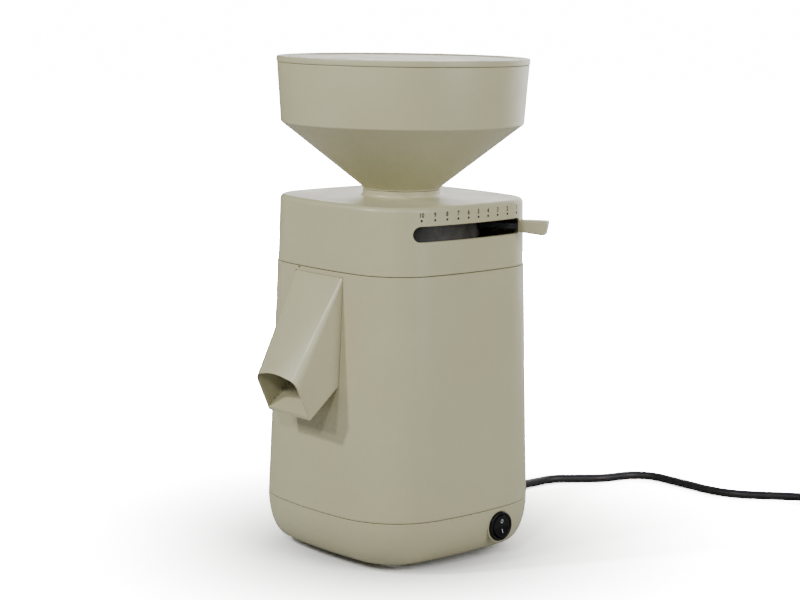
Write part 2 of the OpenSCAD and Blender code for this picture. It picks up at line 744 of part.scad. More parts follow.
module milling_chamber() {
    outer = chamber_radius + chamber_wall;
    chute = spout_half - 3;
    color([0.55, 0.55, 0.56]) difference() {
        union() {
            rod(outer, chamber_z, rim_seat);
            translate([-chute, -throat_end + 0.3, chamber_z])
                cube([2 * chute, throat_end - chamber_radius, spout_top - chamber_z]);
        }
        rod(chamber_radius, chamber_bottom, rim_seat + 1);
        rod(shaft_radius + 6, chamber_z - 1, chamber_bottom + 1);
        translate([-chute + 2, -throat_end - 1, chamber_bottom])
            cube([2 * chute - 4, throat_end - chamber_radius + 8, spout_top - chamber_bottom - 2]);
        at_chamber_screws() rod(m4 + 0.2, chamber_z - 1, chamber_bottom + 1);
        at_chamber_screws() rod(m4_head + 0.1, chamber_bottom - 2.2, chamber_bottom + 1);
    }
}

module at_chamber_screws() {
    for (a = corners) rotate([0, 0, a]) translate([35, 0, 0]) children();
}

module chamber_screws() {
    color([0.6, 0.6, 0.62]) at_chamber_screws() difference() {
        union() {
            rod(m4_head, chamber_bottom - 2.15, chamber_bottom - 0.05);
            rod(m4, chamber_z - 6, chamber_bottom - 0.1);
        }
        translate([0, 0, chamber_bottom - 1.4]) cylinder(r = 1.6, h = 2, $fn = 6);
    }
}

module shaft_seal() {
    color([0.12, 0.12, 0.12]) rotate_extrude() polygon([
        [shaft_radius + run_gap, chamber_z + 0.05], [shaft_radius + 5.9, chamber_z + 0.05],
        [shaft_radius + 5.9, chamber_bottom - 0.4], [shaft_radius + 2.5, chamber_bottom - 0.4],
        [shaft_radius + 1, chamber_bottom + 0.4], [shaft_radius + run_gap, chamber_bottom + 0.4]]);
}

// ---- Motor ----

module motor_shaft() {
    color([0.75, 0.75, 0.77]) difference() {
        union() {
            rod(shaft_radius, fan_top - 10, vane_z + 0.9);
            rod(tip_radius, vane_z, shaft_top);
        }
        translate([0, 0, fan_top - 8.8]) tube(shaft_radius + 1, shaft_radius - 0.8, 0, 1.1);
    }
}

module rotor() {
    span = stator_length;
    color([0.5, 0.5, 0.52]) difference() {
        union() {
            rod(rotor_radius, core_z, core_top);
            for (end = [core_z - 5, core_top]) rod(rotor_radius - 3, end, end + 5);
            for (a = [0:45:315], end = [-1, 1]) rotate([0, 0, a])
                translate([rotor_radius - 9, -1, end > 0 ? core_top + 4 : core_z - 10])
                    cube([5, 2, 6]);
        }
        rod(shaft_radius + set_gap, core_z - span, core_top + span);
    }
}

module stator_core() {
    color([0.42, 0.42, 0.45]) difference() {
        rod(motor_radius, core_z, core_top);
        rod(core_bore, core_z - 1, core_top + 1);
        for (i = [0:23]) rotate([0, 0, 15 * i + 7.5])
            translate([core_bore + 1.2, -1.6, core_z - 1]) cube([8, 3.2, stator_length + 2]);
        at_bolts() rod(m4 + 0.2, core_z - 1, core_top + 1);
    }
}

module at_bolts() {
    for (a = [0:90:270]) rotate([0, 0, a]) translate([bolt_ring, 0, 0]) children();
}

// One bundle of end turns: a round-shouldered ring
module end_turns(z0, z1) {
    inner = core_bore + 2.2;
    color([0.66, 0.36, 0.16]) rotate_extrude() polygon([
        [inner, z0 + 3], [inner + 3, z0], [winding_radius - 3, z0], [winding_radius, z0 + 3],
        [winding_radius, z1 - 3], [winding_radius - 3, z1], [inner + 3, z1], [inner, z1 - 3]]);
}

winding_height = 17;

module upper_winding() {
    end_turns(core_top + 0.2, core_top + winding_height);
}

module lower_winding() {
    end_turns(core_z - winding_height, core_z - 0.2);
}

// Shielded ball bearing: both races with the shields a little below their faces
module bearing(z0) {
    mid = (bearing_bore + bearing_radius) / 2;
    color([0.72, 0.73, 0.75]) rotate_extrude() polygon([
        [bearing_bore, z0], [bearing_bore + 2.4, z0], [bearing_bore + 2.4, z0 + 0.6],
        [bearing_radius - 2.4, z0 + 0.6], [bearing_radius - 2.4, z0], [bearing_radius, z0],
        [bearing_radius, z0 + bearing_width], [bearing_radius - 2.4, z0 + bearing_width],
        [bearing_radius - 2.4, z0 + bearing_width - 0.6], [mid, z0 + bearing_width - 0.8],
        [bearing_bore + 2.4, z0 + bearing_width - 0.6], [bearing_bore + 2.4, z0 + bearing_width],
        [bearing_bore, z0 + bearing_width]]);
}

module upper_bearing() {
    bearing(chamber_z - 4 - bearing_width);
}

module lower_bearing() {
    bearing(motor_z + 4);
}

// End bell with its open side at z = 0 and its closed end at bell_height
module end_bell() {
    rim = motor_radius - 4;
    seat_z = bell_height - 4 - bearing_width;
    difference() {
        union() {
            tube(motor_radius, rim, 0, bell_height - 6);
            rod(motor_radius, bell_height - 6, bell_height);
            rod(bearing_seat + 3.5, seat_z, bell_height);
            at_bolts() rod(4.6, 0, bell_height);
            for (a = [45:90:315]) rotate([0, 0, a])
                translate([bearing_seat + 2, -1.5, bell_height - 11]) cube([rim - bearing_seat, 3, 8]);
        }
        rod(bearing_seat, seat_z - 1, bell_height - 4);
        rod(shaft_radius + 2, -1, bell_height + 1);
        for (a = [22.5:45:337.5]) rotate([0, 0, a])
            translate([rim - 3, -7, 8]) cube([12, 14, bell_height - 18]);
        at_outer_rim();
    }
}

// Trims the bolt lugs to the motor's round outside
module at_outer_rim() {
    tube(motor_radius + 12, motor_radius, -1, bell_height + 1);
}

module upper_end_bell() {
    color([0.6, 0.6, 0.61]) translate([0, 0, core_top]) difference() {
        end_bell();
        at_bolts() rod(m4 + 0.2, -1, bell_height - 3);
        at_chamber_screws() rod(m4 + set_gap, bell_height - 7, bell_height + 1);
    }
}

module lower_end_bell() {
    lug = foot_reach * sqrt(2);
    color([0.6, 0.6, 0.61]) difference() {
        union() {
            translate([0, 0, core_z]) mirror([0, 0, 1]) end_bell();
            for (a = corners) rotate([0, 0, a]) {
                translate([lug, 0, motor_z]) cylinder(r = 8, h = 5);
                translate([motor_radius - 2, -6, motor_z]) cube([lug - motor_radius + 2, 12, 5]);
            }
        }
        translate([0, 0, motor_z - 1]) at_bolts() rod(m4 + 0.2, 0, bell_height + 2);
        at_corners(foot_reach) rod(m4 + 0.2, motor_z - 1, motor_z + 6);
    }
}

module motor_bolts() {
    color([0.6, 0.6, 0.62]) at_bolts() {
        translate([0, 0, motor_z - 3.05]) cylinder(r = m4 * 1.9, h = 3, $fn = 6);
        rod(m4, motor_z - 1, core_top + bell_height - 4);
    }
}

module rubber_mounts() {
    color([0.1, 0.1, 0.1]) at_corners(foot_reach) difference() {
        rotate_extrude() polygon([[0, post_top + 0.02], [7.4, post_top + 0.02], [7.4, post_top + 2],
            [6.4, post_top + rubber_height / 2], [7.4, motor_z - 2], [7.4, motor_z - 0.02],
            [0, motor_z - 0.02]]);
        rod(m4 + 0.2, post_top - 1, motor_z + 1);
    }
}

module mount_screws() {
    color([0.6, 0.6, 0.62]) at_corners(foot_reach) translate([0, 0, motor_z]) rotate([180, 0, 0])
        screw_up(m4, m4_head, -5 - m4 * 1.3 - 0.03, rubber_height + 16);
}

module cooling_fan() {
    deck = fan_top - 1.6;
    color([0.15, 0.15, 0.16]) difference() {
        union() {
            rod(fan_radius, deck, fan_top);
            rod(shaft_radius + 3.5, fan_top - 7.6, fan_top);
            for (i = [0:fan_blades - 1]) rotate([0, 0, i * 360 / fan_blades])
                translate([shaft_radius + 6, 0, fan_top - 7.6]) rotate([0, 0, -18])
                    cube([fan_radius - shaft_radius - 9, 1.6, 6.4]);
        }
        rod(shaft_radius + set_gap, fan_top - 10, fan_top + 1);
    }
}

module fan_clip() {
    color([0.5, 0.5, 0.52]) translate([0, 0, fan_top - 8.75]) difference() {
        tube(shaft_radius + 2, shaft_radius - 0.74, 0, 1);
        translate([0, -1.6, -1]) cube([shaft_radius + 4, 3.2, 3]);
    }
}

// ---- Electrical pieces ----

// The capacitor fills the corner between the motor and the housing, less the air
cap_angle = 135;
cap_z = core_z + 4;
cap_tab = 9;
cap_end = cap_z + capacitor_length + cap_tab;
corner_room = corner_reach(body_half(cap_end), body_corner(cap_end)) - motor_radius;
capacitor_radius = corner_room / 2 - capacitor_air;
cap_reach = motor_radius + capacitor_air + capacitor_radius;
clip_z = cap_z + capacitor_length * 0.4;

module at_capacitor() {
    rotate([0, 0, cap_angle]) translate([cap_reach, 0, 0]) children();
}

module capacitor() {
    color([0.83, 0.83, 0.8]) at_capacitor() {
        rod(capacitor_radius - 0.2, cap_z, cap_z + capacitor_length - 1);
        rod(capacitor_radius - 1.4, cap_z, cap_z + capacitor_length);
        for (y = [-5, 5]) translate([-0.4, y - 3.1, cap_z + capacitor_length - 1])
            cube([0.8, 6.2, cap_tab]);
    }
}

module capacitor_clip() {
    band = capacitor_radius + 1.5;
    color([0.16, 0.16, 0.17]) difference() {
        union() {
            at_capacitor() rod(band, clip_z, clip_z + 12);
            rotate([0, 0, cap_angle]) translate([motor_radius - 3, -8, clip_z]) cube([10, 16, 12]);
        }
        at_capacitor() rod(capacitor_radius, clip_z - 1, clip_z + 13);
        rod(motor_radius + 0.1, clip_z - 1, clip_z + 13);
    }
}

module thermal_protector() {
    color([0.9, 0.9, 0.86]) rotate([0, 0, 20]) translate([winding_radius - 10.5, -5, core_top + winding_height + 0.05])
        cube([8, 10, 3.6]);
}

block_x = -23;
block_z = base_z + plate_thick + 3.2;
block_reach = plate_radius - 6;

module terminal_block() {
    color([0.92, 0.92, 0.9]) difference() {
        translate([block_x - 14, block_reach, block_z]) cube([28, 12, 11]);
        for (i = [-1:1]) translate([block_x + 9 * i, block_reach + 6, block_z + 4]) cylinder(r = 2, h = 9, $fn = 32);
    }
}

// ---- Swept tubes: wires and cord ----

function unit(v) = v / norm(v);
function heading(path, i) = unit(path[min(i + 1, len(path) - 1)] - path[max(i - 1, 0)]);
function side_way(t) = abs(t[2]) > 0.95 ? unit(cross(t, [1, 0, 0])) : unit(cross(t, [0, 0, 1]));
function circle_at(p, t, radius, sides) =
    let (u = side_way(t), v = cross(u, t))
    [for (k = [0:sides - 1]) let (a = 360 * k / sides) p + radius * (cos(a) * u + sin(a) * v)];

// A tube through the points of a path; its end faces are square to the path's ends
module sweep(path, radius, sides, first, last) {
    n = len(path);
    way = [for (i = [0:n - 1]) i == 0 ? first : i == n - 1 ? last : heading(path, i)];
    polyhedron(
        points = [for (i = [0:n - 1]) each circle_at(path[i], way[i], radius, sides)],
        faces = concat(
            [[for (k = [0:sides - 1]) sides - 1 - k]],
            [[for (k = [0:sides - 1]) (n - 1) * sides + k]],
            [for (i = [0:n - 2]) each [for (k = [0:sides - 1])
                let (a = i * sides + k, b = i * sides + (k + 1) % sides, c = b + sides, d = a + sides)
                each [[a, b, c], [a, c, d]]]]),
        convexity = 8);
}

// Smooth points between hand-chosen ones
function curve_point(p0, p1, p2, p3, t) =
    0.5 * (2 * p1 + (p2 - p0) * t + (2 * p0 - 5 * p1 + 4 * p2 - p3) * t * t
        + (3 * p1 - p0 - 3 * p2 + p3) * t * t * t);
function smooth_path(p, steps) = let (n = len(p)) concat(
    [for (i = [0:n - 2]) each [for (k = [0:steps - 1])
        curve_point(p[max(i - 1, 0)], p[i], p[i + 1], p[min(i + 2, n - 1)], k / steps)]],
    [p[n - 1]]);

cord_exit_z = base_z + cord_exit_rise;
relief_neck = cord_d / 2 + 2.6;
relief_y = side_reach(base_half(base_angle(cord_exit_z)), base_corner(base_angle(cord_exit_z)), 0) + 0.8;
relief_end = relief_y + relief_length;
cord_low = cord_d / 2 + 0.2;

module cord_relief() {
    tip = cord_d / 2 + 1.2;
    color([0.08, 0.08, 0.08]) along_y(0, 0, cord_exit_z) rotate_extrude() polygon([
        [0, relief_y - 9], [relief_neck + 1.2, relief_y - 9], [relief_neck + 1.2, relief_y - 6.1],
        [relief_neck, relief_y - 6.1], [relief_neck, relief_y + 0.05], [relief_neck + 2.4, relief_y + 0.05],
        [relief_neck + 2.4, relief_y + 2.4], [relief_neck, relief_y + 3], [tip + 0.8, relief_end - 6],
        [tip, relief_end], [0, relief_end]]);
}

wire_r = 1;

module lead_wires() {
    supply_y = relief_y - 9.05;
    block_y = block_reach + 12.05;
    for (i = [-1:1]) color([[0.1, 0.3, 0.7], [0.45, 0.28, 0.12], [0.3, 0.6, 0.2]][i + 1])
        sweep(smooth_path([[3.6 * i, supply_y, cord_exit_z], [3.6 * i, supply_y - 4, cord_exit_z],
            [block_x + 9 * i, block_y + 4, block_z + 6], [block_x + 9 * i, block_y, block_z + 6]], 4),
            wire_r, 8, [0, -1, 0], [0, -1, 0]);
    color([0.1, 0.1, 0.1]) for (i = [-1, 1])
        sweep(smooth_path([[pad_face - 29.05, switch_offset + 4 * i, switch_z],
            [pad_face - 37, switch_offset + 4 * i, switch_z],
            [38, lerp(switch_offset, block_reach, 0.4) + 4 * i, switch_z - 2],
            [24, lerp(switch_offset, block_reach, 0.85) + 4 * i, switch_z - 5],
            [12, block_reach + 5 + 3 * i, block_z + 6],
            [block_x + 14.05, block_reach + 6 + 3 * i, block_z + 5]], 4), wire_r, 8, [-1, 0, 0], [-1, 0, 0]);
}

coil_centre = [196, 337.5];
coil_entry = 130;
coil_turns = 2.25;
layer_rise = cord_d + 0.7;
coil_steps = 24;
climb = 0.5;
tie_thick = 0.8;
coil_low = cord_low + tie_thick + 0.2;

// Radius and height of the coil's line after t turns: in, up while it turns back, out
function coil_r(t) =
    let (u = t - coil_turns)
    u <= 0 ? coil_radius - loop_pitch * t
    : u < climb ? coil_radius - loop_pitch * (coil_turns + u - u * u / climb)
    : coil_radius - loop_pitch * (coil_turns - (u - climb));
function coil_z(t) = coil_low + layer_rise * soft(max(0, min(1, (t - coil_turns) / climb)));
function coil_at(t) = let (a = coil_entry - 360 * t)
    [coil_centre[0] + coil_r(t) * cos(a), coil_centre[1] + coil_r(t) * sin(a), coil_z(t)];
coil_way = [sin(coil_entry), -cos(coil_entry), 0];
coil_total = 2 * coil_turns + climb;
coil_start = coil_at(0) - cord_d * coil_way;
coil_end = coil_at(coil_total) + cord_d * coil_way;
coil_line = concat([coil_start], [for (i = [0:coil_total * coil_steps]) coil_at(i / coil_steps)], [coil_end]);

// Least gap between two stretches of the coil that aren't neighbours along it
coil_gap = min([for (i = [0:len(coil_line) - 1], j = [i + 8:1:len(coil_line) - 1])
    norm(coil_line[i] - coil_line[j])]) - cord_d;
echo(coil_gap = coil_gap);

route_y = 299.5;

// Corners of the free cord's route from the bend relief to the coil, with the radius of
// the bend at each: straight out, down to the table, then along it in long curves
route = [[0, relief_end, cord_exit_z], [0, 142, cord_exit_z], [-50, 170, cord_low],
    [-48.5, 222, cord_low], [-22, 257.5, cord_low], [-11, route_y, cord_low],
    [coil_start[0] - (coil_start[1] - route_y) * coil_way[0] / coil_way[1], route_y, cord_low],
    coil_start];
bends = [0, 28, 30, 32, 40, 28, 60];
bend_steps = 8;

// Points of a round bend in the corner at b, between the straights from a and to c
function bend(a, b, c, r) =
    let (u = unit(a - b), v = unit(c - b), half = acos(u * v) / 2, mid = b + unit(u + v) * r / sin(half),
         w0 = b + u * r / tan(half) - mid, w1 = b + v * r / tan(half) - mid, turn = 180 - 2 * half)
    [for (k = [0:bend_steps]) let (t = turn * k / bend_steps)
        mid + (sin(turn - t) * w0 + sin(t) * w1) / sin(turn)];

module power_cord() {
    color([0.05, 0.05, 0.05]) sweep(concat([route[0]],
        [for (i = [1:len(route) - 2]) each bend(route[i - 1], route[i], route[i + 1], bends[i])],
        [coil_start]), cord_d / 2, 8, [0, 1, 0], coil_way);
}

module cord_coil() {
    color([0.05, 0.05, 0.05]) sweep(coil_line, cord_d / 2, 6, coil_way, coil_way);
}

// Flat strap round all loops of the coil, on the side away from the plug
tie_angle = 200;
tie_width = 9;

module cord_tie() {
    inside = coil_radius - loop_pitch * coil_turns - cord_d / 2 - 0.3;
    outside = coil_radius + cord_d / 2 - 0.9;
    low = coil_low - cord_d / 2 - 0.2;
    high = coil_low + layer_rise + cord_d / 2 + 0.3;
    color([0.12, 0.12, 0.13]) translate([coil_centre[0], coil_centre[1], 0]) rotate([0, 0, tie_angle])
        rotate([90, 0, 0]) linear_extrude(tie_width, center = true) difference() {
            offset(r = tie_thick) translate([inside, low]) square([outside - inside, high - low]);
            translate([inside, low]) square([outside - inside, high - low]);
        }
}

plug_axis_z = plug_radius + 0.3;
plug_lead = 46;
plug_start = [coil_end[0], coil_end[1], 0] + plug_lead * coil_way + [0, 0, plug_axis_z];

module cord_tail() {
    low = coil_end[2];
    color([0.05, 0.05, 0.05]) sweep([for (i = [0:16]) let (t = i / 16)
        [coil_end[0], coil_end[1], 0] + plug_lead * t * coil_way
            + [0, 0, lerp(low, plug_axis_z, soft(max(0, min(1, (t - 0.15) / 0.7))))]],
        cord_d / 2, 8, coil_way, coil_way);
}

module at_plug() {
    translate(plug_start) rotate([0, 0, atan2(coil_way[1], coil_way[0])]) rotate([0, 90, 0]) children();
}

module plug_body() {
    color([0.06, 0.06, 0.06]) at_plug() difference() {
        rotate_extrude() polygon([[0, 0], [cord_d / 2 + 1.6, 0], [cord_d / 2 + 2.6, 14],
            [cord_d / 2 + 5, 18], [plug_radius - 3, 22], [plug_radius - 1.2, 26],
            [plug_radius - 1.2, 34], [plug_radius, 36], [plug_radius, 46], [plug_radius - 1, 47], [0, 47]]);
        for (y = [-1, 1]) translate([0, y * plug_radius, 40]) cube([7, 4.4, 16], center = true);
        for (y = [-9.5, 9.5]) translate([0, y, 37]) cylinder(r = 2.4 + set_gap, h = 12);
    }
}

module plug_pins() {
    color([0.8, 0.8, 0.82]) at_plug() for (y = [-9.5, 9.5]) translate([0, y, 37.05]) {
        cylinder(r = 2.4, h = 26.5);
        translate([0, 0, 26.5]) cylinder(r1 = 2.4, r2 = 1.4, h = 2);
    }
}

// ---- Switch ----

rocker_pivot = pivot_x - 1.5;
rocker_half = bezel_radius - 2.9;

module switch_housing() {
    color([0.07, 0.07, 0.08]) along_x(0, switch_offset, switch_z) difference() {
        rotate_extrude() polygon([[0, pad_face - 24], [switch_hole_radius - set_gap, pad_face - 24],
            [switch_hole_radius - set_gap, pad_face + 0.05], [bezel_radius, pad_face + 0.05],
            [bezel_radius, pad_face + 0.8], [bezel_radius - 1, pad_face + 2], [0, pad_face + 2]]);
        translate([0, 0, pad_face - 10]) cylinder(r = rocker_half + 0.4, h = 20);
        for (y = [-4, 4]) translate([-2.4, y - 0.4, pad_face - 25]) cube([4.8, 0.8, 7]);
    }
}

module switch_terminals() {
    color([0.8, 0.7, 0.4]) along_x(0, switch_offset, switch_z) for (y = [-4, 4])
        translate([-2.35, y - 0.35, pad_face - 29]) cube([4.7, 0.7, 10.9]);
}

// The rocker in its off place: a saddle of two flats, tipped about its own pin
module switch_rocker() {
    half = rocker_half * 0.72;
    color([0.05, 0.05, 0.06]) translate([rocker_pivot, switch_offset, switch_z])
        rotate([0, -rocker_tip / 2, 0]) {
            intersection() {
                rotate([90, 0, 0]) linear_extrude(2 * half, center = true) polygon([
                    [-5, -3.4], [2.2, -rocker_half + 0.7], [4.3, -rocker_half + 0.9], [2.9, 0],
                    [4.3, rocker_half - 0.9], [2.2, rocker_half - 0.7], [-5, 3.4]]);
                along_x(-8, 0, 0) cylinder(r = rocker_half - 0.2, h = 16);
            }
            along_y(0, -rocker_half, 0) cylinder(r = 1.2, h = 2 * rocker_half);
        }
}

hopper_lid();
hopper();
head_cover();
body_shell();
base_shell();
bottom_plate();
plate_screws();
feet();
base_screws();
head_screws();
flour_spout();
lever_grip();
lever_arm();
lever_screw();
adjusting_ring();
ring_seal();
upper_stone_carrier();
upper_millstone();
lower_millstone();
lower_stone_carrier();
stone_washer();
stone_nut();
milling_chamber();
chamber_screws();
shaft_seal();
motor_shaft();
rotor();
stator_core();
upper_winding();
lower_winding();
upper_bearing();
lower_bearing();
upper_end_bell();
lower_end_bell();
motor_bolts();
rubber_mounts();
mount_screws();
cooling_fan();
fan_clip();
capacitor();
capacitor_clip();
thermal_protector();
terminal_block();
lead_wires();
switch_housing();
switch_rocker();
switch_terminals();
cord_relief();
power_cord();
cord_coil();
cord_tie();
cord_tail();
plug_body();
plug_pins();
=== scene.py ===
"""Dressed model of an electric grain mill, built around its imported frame.

Every piece is made in code at the place that the solids give it. Builders work in
millimetres, the same as the solids' source, and meshes are stored in metres.
"""

import logging
import math
from dataclasses import dataclass, field
from enum import Enum
from typing import Callable, Iterable, Sequence

import bmesh
import bpy
from mathutils import Matrix, Vector


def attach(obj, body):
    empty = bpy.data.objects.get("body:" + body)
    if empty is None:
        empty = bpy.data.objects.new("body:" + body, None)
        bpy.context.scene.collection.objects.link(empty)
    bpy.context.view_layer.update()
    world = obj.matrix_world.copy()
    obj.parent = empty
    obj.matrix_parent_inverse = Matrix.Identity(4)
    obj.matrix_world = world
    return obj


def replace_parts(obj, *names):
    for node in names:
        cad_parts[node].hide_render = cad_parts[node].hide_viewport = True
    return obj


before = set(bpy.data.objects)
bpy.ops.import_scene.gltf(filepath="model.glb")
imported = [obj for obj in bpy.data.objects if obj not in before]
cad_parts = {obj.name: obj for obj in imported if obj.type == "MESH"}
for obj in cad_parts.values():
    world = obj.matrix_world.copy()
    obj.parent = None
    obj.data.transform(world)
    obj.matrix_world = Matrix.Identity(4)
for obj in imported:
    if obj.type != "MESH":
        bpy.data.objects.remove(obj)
log = logging.getLogger("mill")

MM = 0.001
WAVE_PERIOD = 0.31  # of Blender's wave pattern at scale 1
BLOCK_FACES = ((0, 3, 2, 1), (4, 5, 6, 7), (0, 1, 5, 4), (1, 2, 6, 5), (2, 3, 7, 6), (3, 0, 4, 7))
Pair = tuple[float, float]
Point = tuple[float, float, float]
Ring = list[Point]
Faces = list[tuple[int, ...]]
Piece = bpy.types.Object
Tree = bpy.types.NodeTree
Socket = bpy.types.NodeSocket


# ---- Sizes of the mill, the same as in the solids' source ----


@dataclass(frozen=True)
class MillSizes:
    """Sizes of the mill in millimetres."""

    foot_height: float = 5.5
    foot_radius: float = 8.6
    foot_reach: float = 47.0
    base_height: float = 34.0
    base_tuck: float = 18.0
    wall: float = 3.0
    plate_radius: float = 53.0
    plate_thick: float = 2.6
    body_low_width: float = 170.4
    body_top_width: float = 155.6
    body_low_corner: float = 47.2
    body_top_corner: float = 37.4
    side_bulge: float = 2.3
    body_height: float = 177.4
    seam: float = 0.5
    head_height: float = 49.0
    head_low_width: float = 154.4
    head_top_width: float = 151.4
    head_edge: float = 3.5
    collar_height: float = 5.0
    hopper_radius: float = 93.6
    band_height: float = 43.7
    band_taper: float = 3.0
    cone_height: float = 49.4
    neck_radius: float = 28.8
    hopper_wall: float = 2.6
    throat_radius: float = 22.5
    lid_thick: float = 4.2
    lid_overhang: float = 0.4
    spout_half: float = 27.0
    spout_drop: float = 80.0
    spout_below_seam: float = 3.4
    lip_reach: float = 22.0
    lip_drop: float = 21.2
    mouth_height: float = 35.5
    mouth_lean: float = 25.0
    mouth_half: float = 24.2
    spout_wall: float = 2.0
    lever_angle: float = 32.4
    lever_rise: float = 29.8
    slot_height: float = 11.2
    slot_half: float = 53.2
    grip_start: float = 90.5
    grip_length: float = 22.0
    grip_width: float = 13.0
    grip_height: float = 9.2
    grip_flare: float = 1.4
    arm_width: float = 5.0
    arm_thick: float = 4.0
    switch_offset: float = 26.0
    switch_rise: float = 20.0
    bezel_radius: float = 11.3
    switch_hole_radius: float = 10.1
    rocker_tip: float = 10.0
    cord_d: float = 7.0
    cord_exit_rise: float = 12.5
    relief_length: float = 34.0
    coil_radius: float = 46.0
    loop_pitch: float = 7.8
    plug_radius: float = 18.6
    lift_gap: float = 0.3
    boss_reach: float = 56.6
    soft_edge: float = 0.45

    @property
    def base_z(self) -> float:
        """Level of the underside of the base."""
        return self.foot_height

    @property
    def base_top(self) -> float:
        """Level of the base's upper edge."""
        return self.base_z + self.base_height

    @property
    def body_z(self) -> float:
        """Level of the housing's lower edge."""
        return self.base_top + self.seam

    @property
    def body_top(self) -> float:
        """Level of the housing's upper edge."""
        return self.body_z + self.body_height

    @property
    def head_z(self) -> float:
        """Level of the head's lower edge."""
        return self.body_top + self.seam

    @property
    def head_top(self) -> float:
        """Level of the head's top face."""
        return self.head_z + self.head_height

    @property
    def collar_top(self) -> float:
        """Level of the collar's upper edge."""
        return self.head_top + self.collar_height

    @property
    def neck_z(self) -> float:
        """Level where the hopper's neck starts."""
        return self.collar_top + self.lift_gap

    @property
    def band_z(self) -> float:
        """Level where the hopper's cone meets its band."""
        return self.neck_z + self.cone_height

    @property
    def rim_z(self) -> float:
        """Level of the hopper's rim."""
        return self.band_z + self.band_height

    @property
    def lid_z(self) -> float:
        """Level of the lid's underside."""
        return self.rim_z + self.lift_gap

    @property
    def lid_top(self) -> float:
        """Level of the lid's upper rim."""
        return self.lid_z + self.lid_thick

    @property
    def lever_z(self) -> float:
        """Level of the lever's arm."""
        return self.head_z + self.lever_rise

    @property
    def spigot_z(self) -> float:
        """Level of the lower end of the hopper's spigot."""
        return self.lever_z + 5.5

    @property
    def spigot_radius(self) -> float:
        """Outer radius of the hopper's spigot."""
        return self.throat_radius + 3.2

    @property
    def switch_z(self) -> float:
        """Level of the switch."""
        return self.base_z + self.switch_rise

    @property
    def cord_exit_z(self) -> float:
        """Level of the cord's exit."""
        return self.base_z + self.cord_exit_rise

    @property
    def spout_top(self) -> float:
        """Level of the spout's upper edge at the housing."""
        return self.body_top - self.spout_below_seam

    @property
    def spout_foot(self) -> float:
        """Level of the spout's lower edge at the housing."""
        return self.spout_top - self.spout_drop

    def base_angle(self, level: float) -> float:
        """Angle along the base's rounding at a level, in radians."""
        return math.asin((self.base_top - level) / self.base_height)

    def base_half(self, angle: float) -> float:
        """Half of the base's width at an angle of its rounding."""
        return self.body_low_width / 2 - self.base_tuck * (1 - math.cos(angle))

    def base_corner(self, angle: float) -> float:
        """Corner radius of the base at an angle of its rounding."""
        return self.body_low_corner - 1.25 * self.base_tuck * (1 - math.cos(angle))

    def body_half(self, level: float) -> float:
        """Half of the housing's width at a level."""
        return mix(self.body_low_width, self.body_top_width,
                   (level - self.body_z) / self.body_height) / 2

    def body_corner(self, level: float) -> float:
        """Corner radius of the housing at a level."""
        return mix(self.body_low_corner, self.body_top_corner,
                   (level - self.body_z) / self.body_height)

    def head_half(self, level: float) -> float:
        """Half of the head's width at a level."""
        return mix(self.head_low_width, self.head_top_width,
                   (level - self.head_z) / self.head_height) / 2

    def head_corner(self, level: float) -> float:
        """Corner radius of the head at a level."""
        return self.body_top_corner - 0.6 - 1.6 * (level - self.head_z) / self.head_height

    def side_reach(self, half: float, corner: float, along: float) -> float:
        """Distance of a bulged side from the axis at a place along it."""
        return half + self.side_bulge * (1 - (along / (half - corner)) ** 2)

    def wall_y(self, level: float, along: float) -> float:
        """Distance of the housing's wall from the axis."""
        return self.side_reach(self.body_half(level), self.body_corner(level), along)

    @property
    def pad_face(self) -> float:
        """Distance from the axis of the land that the switch lies on."""
        angle = self.base_angle(self.switch_z)
        return self.side_reach(self.base_half(angle), self.base_corner(angle),
                               self.switch_offset) + 1.2

    @property
    def relief_y(self) -> float:
        """Distance from the axis of the land that the cord's bend relief lies on."""
        angle = self.base_angle(self.cord_exit_z)
        return self.side_reach(self.base_half(angle), self.base_corner(angle), 0) + 0.8

    @property
    def relief_end(self) -> float:
        """Distance from the axis where the cord leaves its bend relief."""
        return self.relief_y + self.relief_length


def mix(a: float, b: float, share: float) -> float:
    """Returns the value at a share of the way from a to b."""
    return a + (b - a) * share


def ease(share: float) -> float:
    """Returns a share from 0 to 1 that starts and ends softly."""
    share = max(0.0, min(1.0, share))
    return share * share * (3 - 2 * share)


SIZES = MillSizes()


# ---- Nodes, shared by materials and meshes ----


def add_node(tree: Tree, kind: str, inputs: dict | None = None,
             **settings: object) -> bpy.types.Node:
    """Adds a node with its settings, values and links.

    Args:
        tree: Node tree that gets the node.
        kind: Type name of the node.
        inputs: Socket name or number to a value, or to an output socket that is linked.
        settings: Attributes of the node, set before its inputs.

    Returns:
        The new node.
    """
    node = tree.nodes.new(kind)
    for name, value in settings.items():
        setattr(node, name, value)
    for name, value in (inputs or {}).items():
        if isinstance(value, Socket):
            tree.links.new(value, node.inputs[name])
        else:
            node.inputs[name].default_value = value
    return node


def linear(colour: str) -> tuple[float, float, float, float]:
    """Turns an sRGB hex colour into linear light.

    Args:
        colour: Six hex digits after a hash sign.

    Returns:
        Red, green, blue and alpha from 0 to 1.
    """
    parts = [int(colour[i:i + 2], 16) / 255 for i in (1, 3, 5)]
    red, green, blue = (p / 12.92 if p <= 0.04045 else ((p + 0.055) / 1.055) ** 2.4 for p in parts)
    return red, green, blue, 1.0


# ---- Finishes ----


